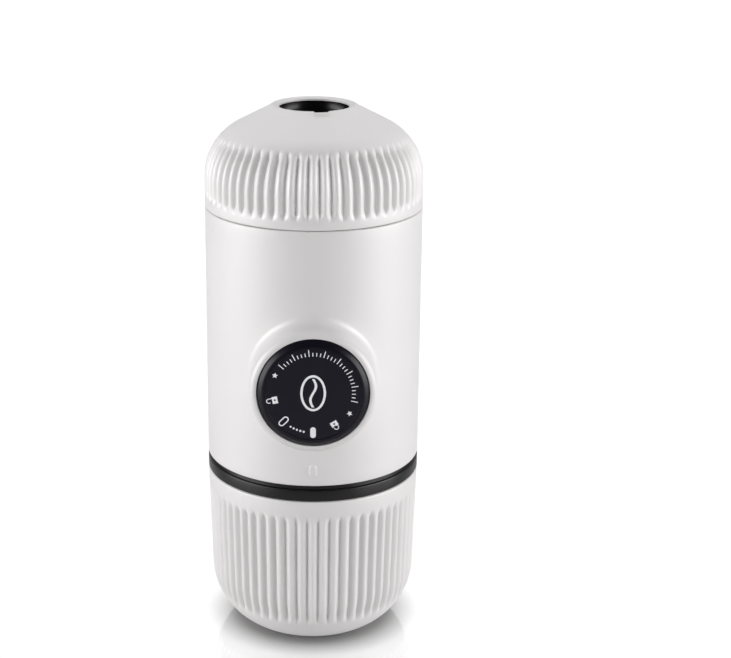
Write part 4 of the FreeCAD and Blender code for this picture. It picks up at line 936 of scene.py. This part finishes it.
for p in hole:
    share = min(max((notch_out_r - p.x) / (notch_out_r - cover_hole_r), 0.0), 1.0)
    cover_section.append((p.x, p.y, 0.0, 0.0, share))
inside = cover_arc(cover_wall, 14)
cover_section += plain([
    (cover_recess_r, cover_recess_z),
    (cover_recess_r, cover_ceiling),
    (inside[-1][0] - (cover_ceiling - inside[-1][1]) / cone_rise, cover_ceiling),
])
cover_section += plain(reversed(inside))
cover = weld("head_cover_dome", [ribbed(cover_section, notch)], white_plastic)
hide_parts("head_cover")
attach(cover, "head_unit")


# ---- outlet dish
# Glossy black dish let into the cover right under its thin rim. It leads the coffee from the spout over
# the edge, so it is polished and has no corner to clean.
dish_rim_top = 154.8
dish_rim_low = 153.6
dish_rim_r = 12.4
dish_mouth_r = 10.9
dish_floor_top = 149.5
dish_floor_low = 148.4
dish_collar_r = 6.2
dish_corner = 0.25
dish_boss_r = dish_collar_r + 1.1
dish_rim_root_r = dish_mouth_r + 0.9
dish_collar_top = 151.1
dish_bore_r = 4.82
bowl_r = dish_collar_r + dish_corner
bowl_steps = 14
dish_section = rounded([
    (dish_bore_r, dish_floor_low, 0.1),
    (dish_boss_r, dish_floor_low, 1.5),
    (dish_rim_root_r, dish_rim_low, 0.6),
    (dish_rim_r, dish_rim_low, 0.2),
    (dish_rim_r, dish_rim_top, 0.2),
])
for k in range(bowl_steps + 1):
    angle = math.pi / 2 * k / bowl_steps
    dish_section.append(Vector((bowl_r + (dish_mouth_r - bowl_r) * math.cos(angle),
                                dish_rim_top - (dish_rim_top - dish_floor_top) * math.sin(angle))))
dish_section += rounded([
    (bowl_r, dish_floor_top, 0),
    (dish_collar_r, dish_floor_top + dish_corner, 0),
    (dish_collar_r, dish_collar_top, 0.4),
    (dish_bore_r, dish_collar_top, 0.3),
    (dish_bore_r, dish_collar_top - 1, 0),
], 4)[1:-1]
dish_plastic = moulded_plastic("dish_plastic", (0.004, 0.004, 0.0045), 0.26, 2500, 0.004, 0.2,
                               Specular_IOR_Level=0.35)
dish = weld("outlet_dish_bowl", [lathe(dish_section, angles(200), closed=True)], dish_plastic)
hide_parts("outlet_dish")
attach(dish, "head_unit")


# ---- outlet nozzle
# Black spout in the middle of the dish, moulded in one piece with the housing of the outlet valve below
# it. Screws through its flange hold it on the portafilter.
nozzle_low = 131.0
nozzle_flange_r = 12.4
nozzle_flange_top = 133.0
house_r = 8.0
house_top = 140.0
chamber_r = 6.2
roof_z = 138.2
spout_r = 4.8
spout_top = 151.4
spout_bore_r = 2.2
spout_mouth_r = 3.5
spout_mouth_depth = 1.3
guide_r = 1.25
nozzle_section = rounded([
    (chamber_r, nozzle_low, 0.2),
    (nozzle_flange_r, nozzle_low, 0.2),
    (nozzle_flange_r, nozzle_flange_top, 0.3),
    (house_r, nozzle_flange_top, 0.3),
    (house_r, house_top, 0.5),
    (spout_r, house_top, 0.4),
    (spout_r, spout_top, 0.45),
    (spout_mouth_r, spout_top, 0.25),
    (spout_bore_r, spout_top - spout_mouth_depth, 0.4),
    (spout_bore_r, house_top, 0.2),
    (guide_r, house_top, 0.1),
    (guide_r, roof_z, 0.1),
    (chamber_r, roof_z, 0.3),
])
nozzle = weld("outlet_spout", [lathe(nozzle_section, angles(120), closed=True)], dish_plastic)
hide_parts("outlet_nozzle")
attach(nozzle, "head_unit")


# ---- inner black mouldings
# Chassis halves, portafilter, guide sleeve, cradle, spring seat and scoop: glass-filled nylon, straight
# from the mould with an open grain.
frame_sharp = math.radians(35)


def finish(names, material):
    """Gives a material to pieces that keep the frame's own shape."""
    for name in names:
        mesh = nodes[name].data
        mesh.materials.clear()
        mesh.materials.append(material)
        mesh.polygons.foreach_set("use_smooth", [True] * len(mesh.polygons))
        mesh.set_sharp_from_angle(angle=frame_sharp)


black_plastic = moulded_plastic("black_plastic", (0.022, 0.022, 0.024), 0.45, 3000, 0.03, 0.4)
finish(("lower_chassis", "upper_chassis", "portafilter", "guide_sleeve", "pump_cradle", "spring_seat",
        "scoop"), black_plastic)


# ---- pump mouldings
# Barrel, cap, plunger, bush, valve seats and the outlet valve: natural acetal, waxy and a little
# translucent.
pump_plastic = moulded_plastic("pump_plastic", (0.62, 0.61, 0.57), 0.4, 2200, 0.02, 0.1,
                               Subsurface_Weight=0.15, Subsurface_Scale=0.002)
finish(("pump_barrel", "barrel_cap", "plunger", "rod_bush", "crema_valve", "inlet_seat", "outlet_seat"),
       pump_plastic)


# ---- seals
# Rings and valves of dark food-grade silicone, pressed in hot moulds and stretched into their grooves.
# They are matt, with a trace of mould talc.
silicone = moulded_plastic("silicone", (0.045, 0.045, 0.05), 0.62, 1800, 0.02, 0.7)
finish(("cup_o_ring", "tank_seal", "plunger_seal", "inlet_seal", "outlet_seal", "air_valve",
        "group_gasket", "head_seal", "nozzle_o_ring"), silicone)


# ---- metal pieces
# Zinc-plated screws and washer, drawn spring wire, ground valve balls, and deep-drawn basket and
# screens.
def worked_metal():
    """Group for metal: fine lines stretched along one direction, over a cloudy tone."""
    group = new_group("worked_metal", (("Colour", "Color"), ("Stretch", "Vector"), ("Gloss", "Float")),
                      (("Colour", "Color"), ("Roughness", "Float"), ("Height", "Float")))
    given = node(group, "NodeGroupInput").outputs
    place = node(group, "ShaderNodeTexCoord").outputs["Object"]
    drawn = node(group, "ShaderNodeVectorMath", {0: place, 1: given["Stretch"]},
                 operation="MULTIPLY").outputs[0]
    lines = node(group, "ShaderNodeTexNoise", {"Vector": drawn, "Scale": 1.0, "Detail": 4.0}).outputs[0]
    cloud = node(group, "ShaderNodeTexNoise", {"Vector": place, "Scale": 260.0,
                                               "Detail": 3.0}).outputs[0]
    tone = maths(group, "MULTIPLY_ADD", cloud, 0.3, 0.85)
    tint = node(group, "ShaderNodeVectorMath", {0: given["Colour"]}, operation="SCALE")
    group.links.new(tone, tint.inputs["Scale"])
    rough = maths(group, "MULTIPLY_ADD", lines, 0.22, given["Gloss"])
    node(group, "NodeGroupOutput", {"Colour": tint.outputs[0], "Roughness": rough, "Height": lines})
    return group


worked = worked_metal()


def metal(name, colour, gloss, stretch):
    """Material of a metal piece; stretch gives the fineness of its lines per metre along X, Y and Z."""
    material = new_material(name)
    tree = material.node_tree
    surface = node(tree, "ShaderNodeGroup", node_tree=worked)
    for key, value in (("Colour", (*colour, 1)), ("Stretch", stretch), ("Gloss", gloss)):
        surface.inputs[key].default_value = value
    relief = node(tree, "ShaderNodeBump", {"Height": surface.outputs["Height"], "Strength": 0.25,
                                           "Distance": 5e-6})
    look = node(tree, "ShaderNodeBsdfPrincipled", {
        "Base Color": surface.outputs["Colour"], "Roughness": surface.outputs["Roughness"],
        "Normal": relief.outputs[0], "Metallic": 1.0})
    node(tree, "ShaderNodeOutputMaterial", {"Surface": look.outputs[0]})
    return material


finish(("frame_screws", "barrel_screws", "cradle_screws", "knob_screw", "knob_washer", "shower_screw",
        "head_screws", "nozzle_screws"), metal("zinc", (0.62, 0.63, 0.66), 0.22, (2500, 2500, 900)))
finish(("return_spring", "inlet_spring", "outlet_spring", "crema_spring"),
       metal("spring_wire", (0.5, 0.5, 0.52), 0.16, (400, 4000, 4000)))

# A spring stands between the body that holds it and the one it presses on; the far end is the held one.
# Each coil is copied into an object of its own, put in place of the frame's piece and left unattached.
for name, fixed, pressed, axis in (
        ("return_spring", "main_body", "plunger_unit", 1),
        ("inlet_spring", "main_body", "inlet_ball_unit", 2),
        ("outlet_spring", "main_body", "outlet_ball_unit", 2),
        ("crema_spring", "head_unit", "crema_poppet", 2)):
    coil = nodes[name].data.copy()
    along = [v.co[axis] for v in coil.vertices]
    far, near = Vector(), Vector()
    far[axis], near[axis] = max(along), min(along)
    spring = bpy.data.objects.new(name + "_wire", coil)
    scene.collection.objects.link(spring)
    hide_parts(name)
    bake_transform(spring)

finish(("inlet_ball", "outlet_ball"), metal("ground_ball", (0.72, 0.72, 0.74), 0.02, (900, 900, 900)))
finish(("filter_basket", "shower_screen", "inlet_filter"),
       metal("drawn_sheet", (0.66, 0.65, 0.63), 0.2, (300, 300, 6000)))
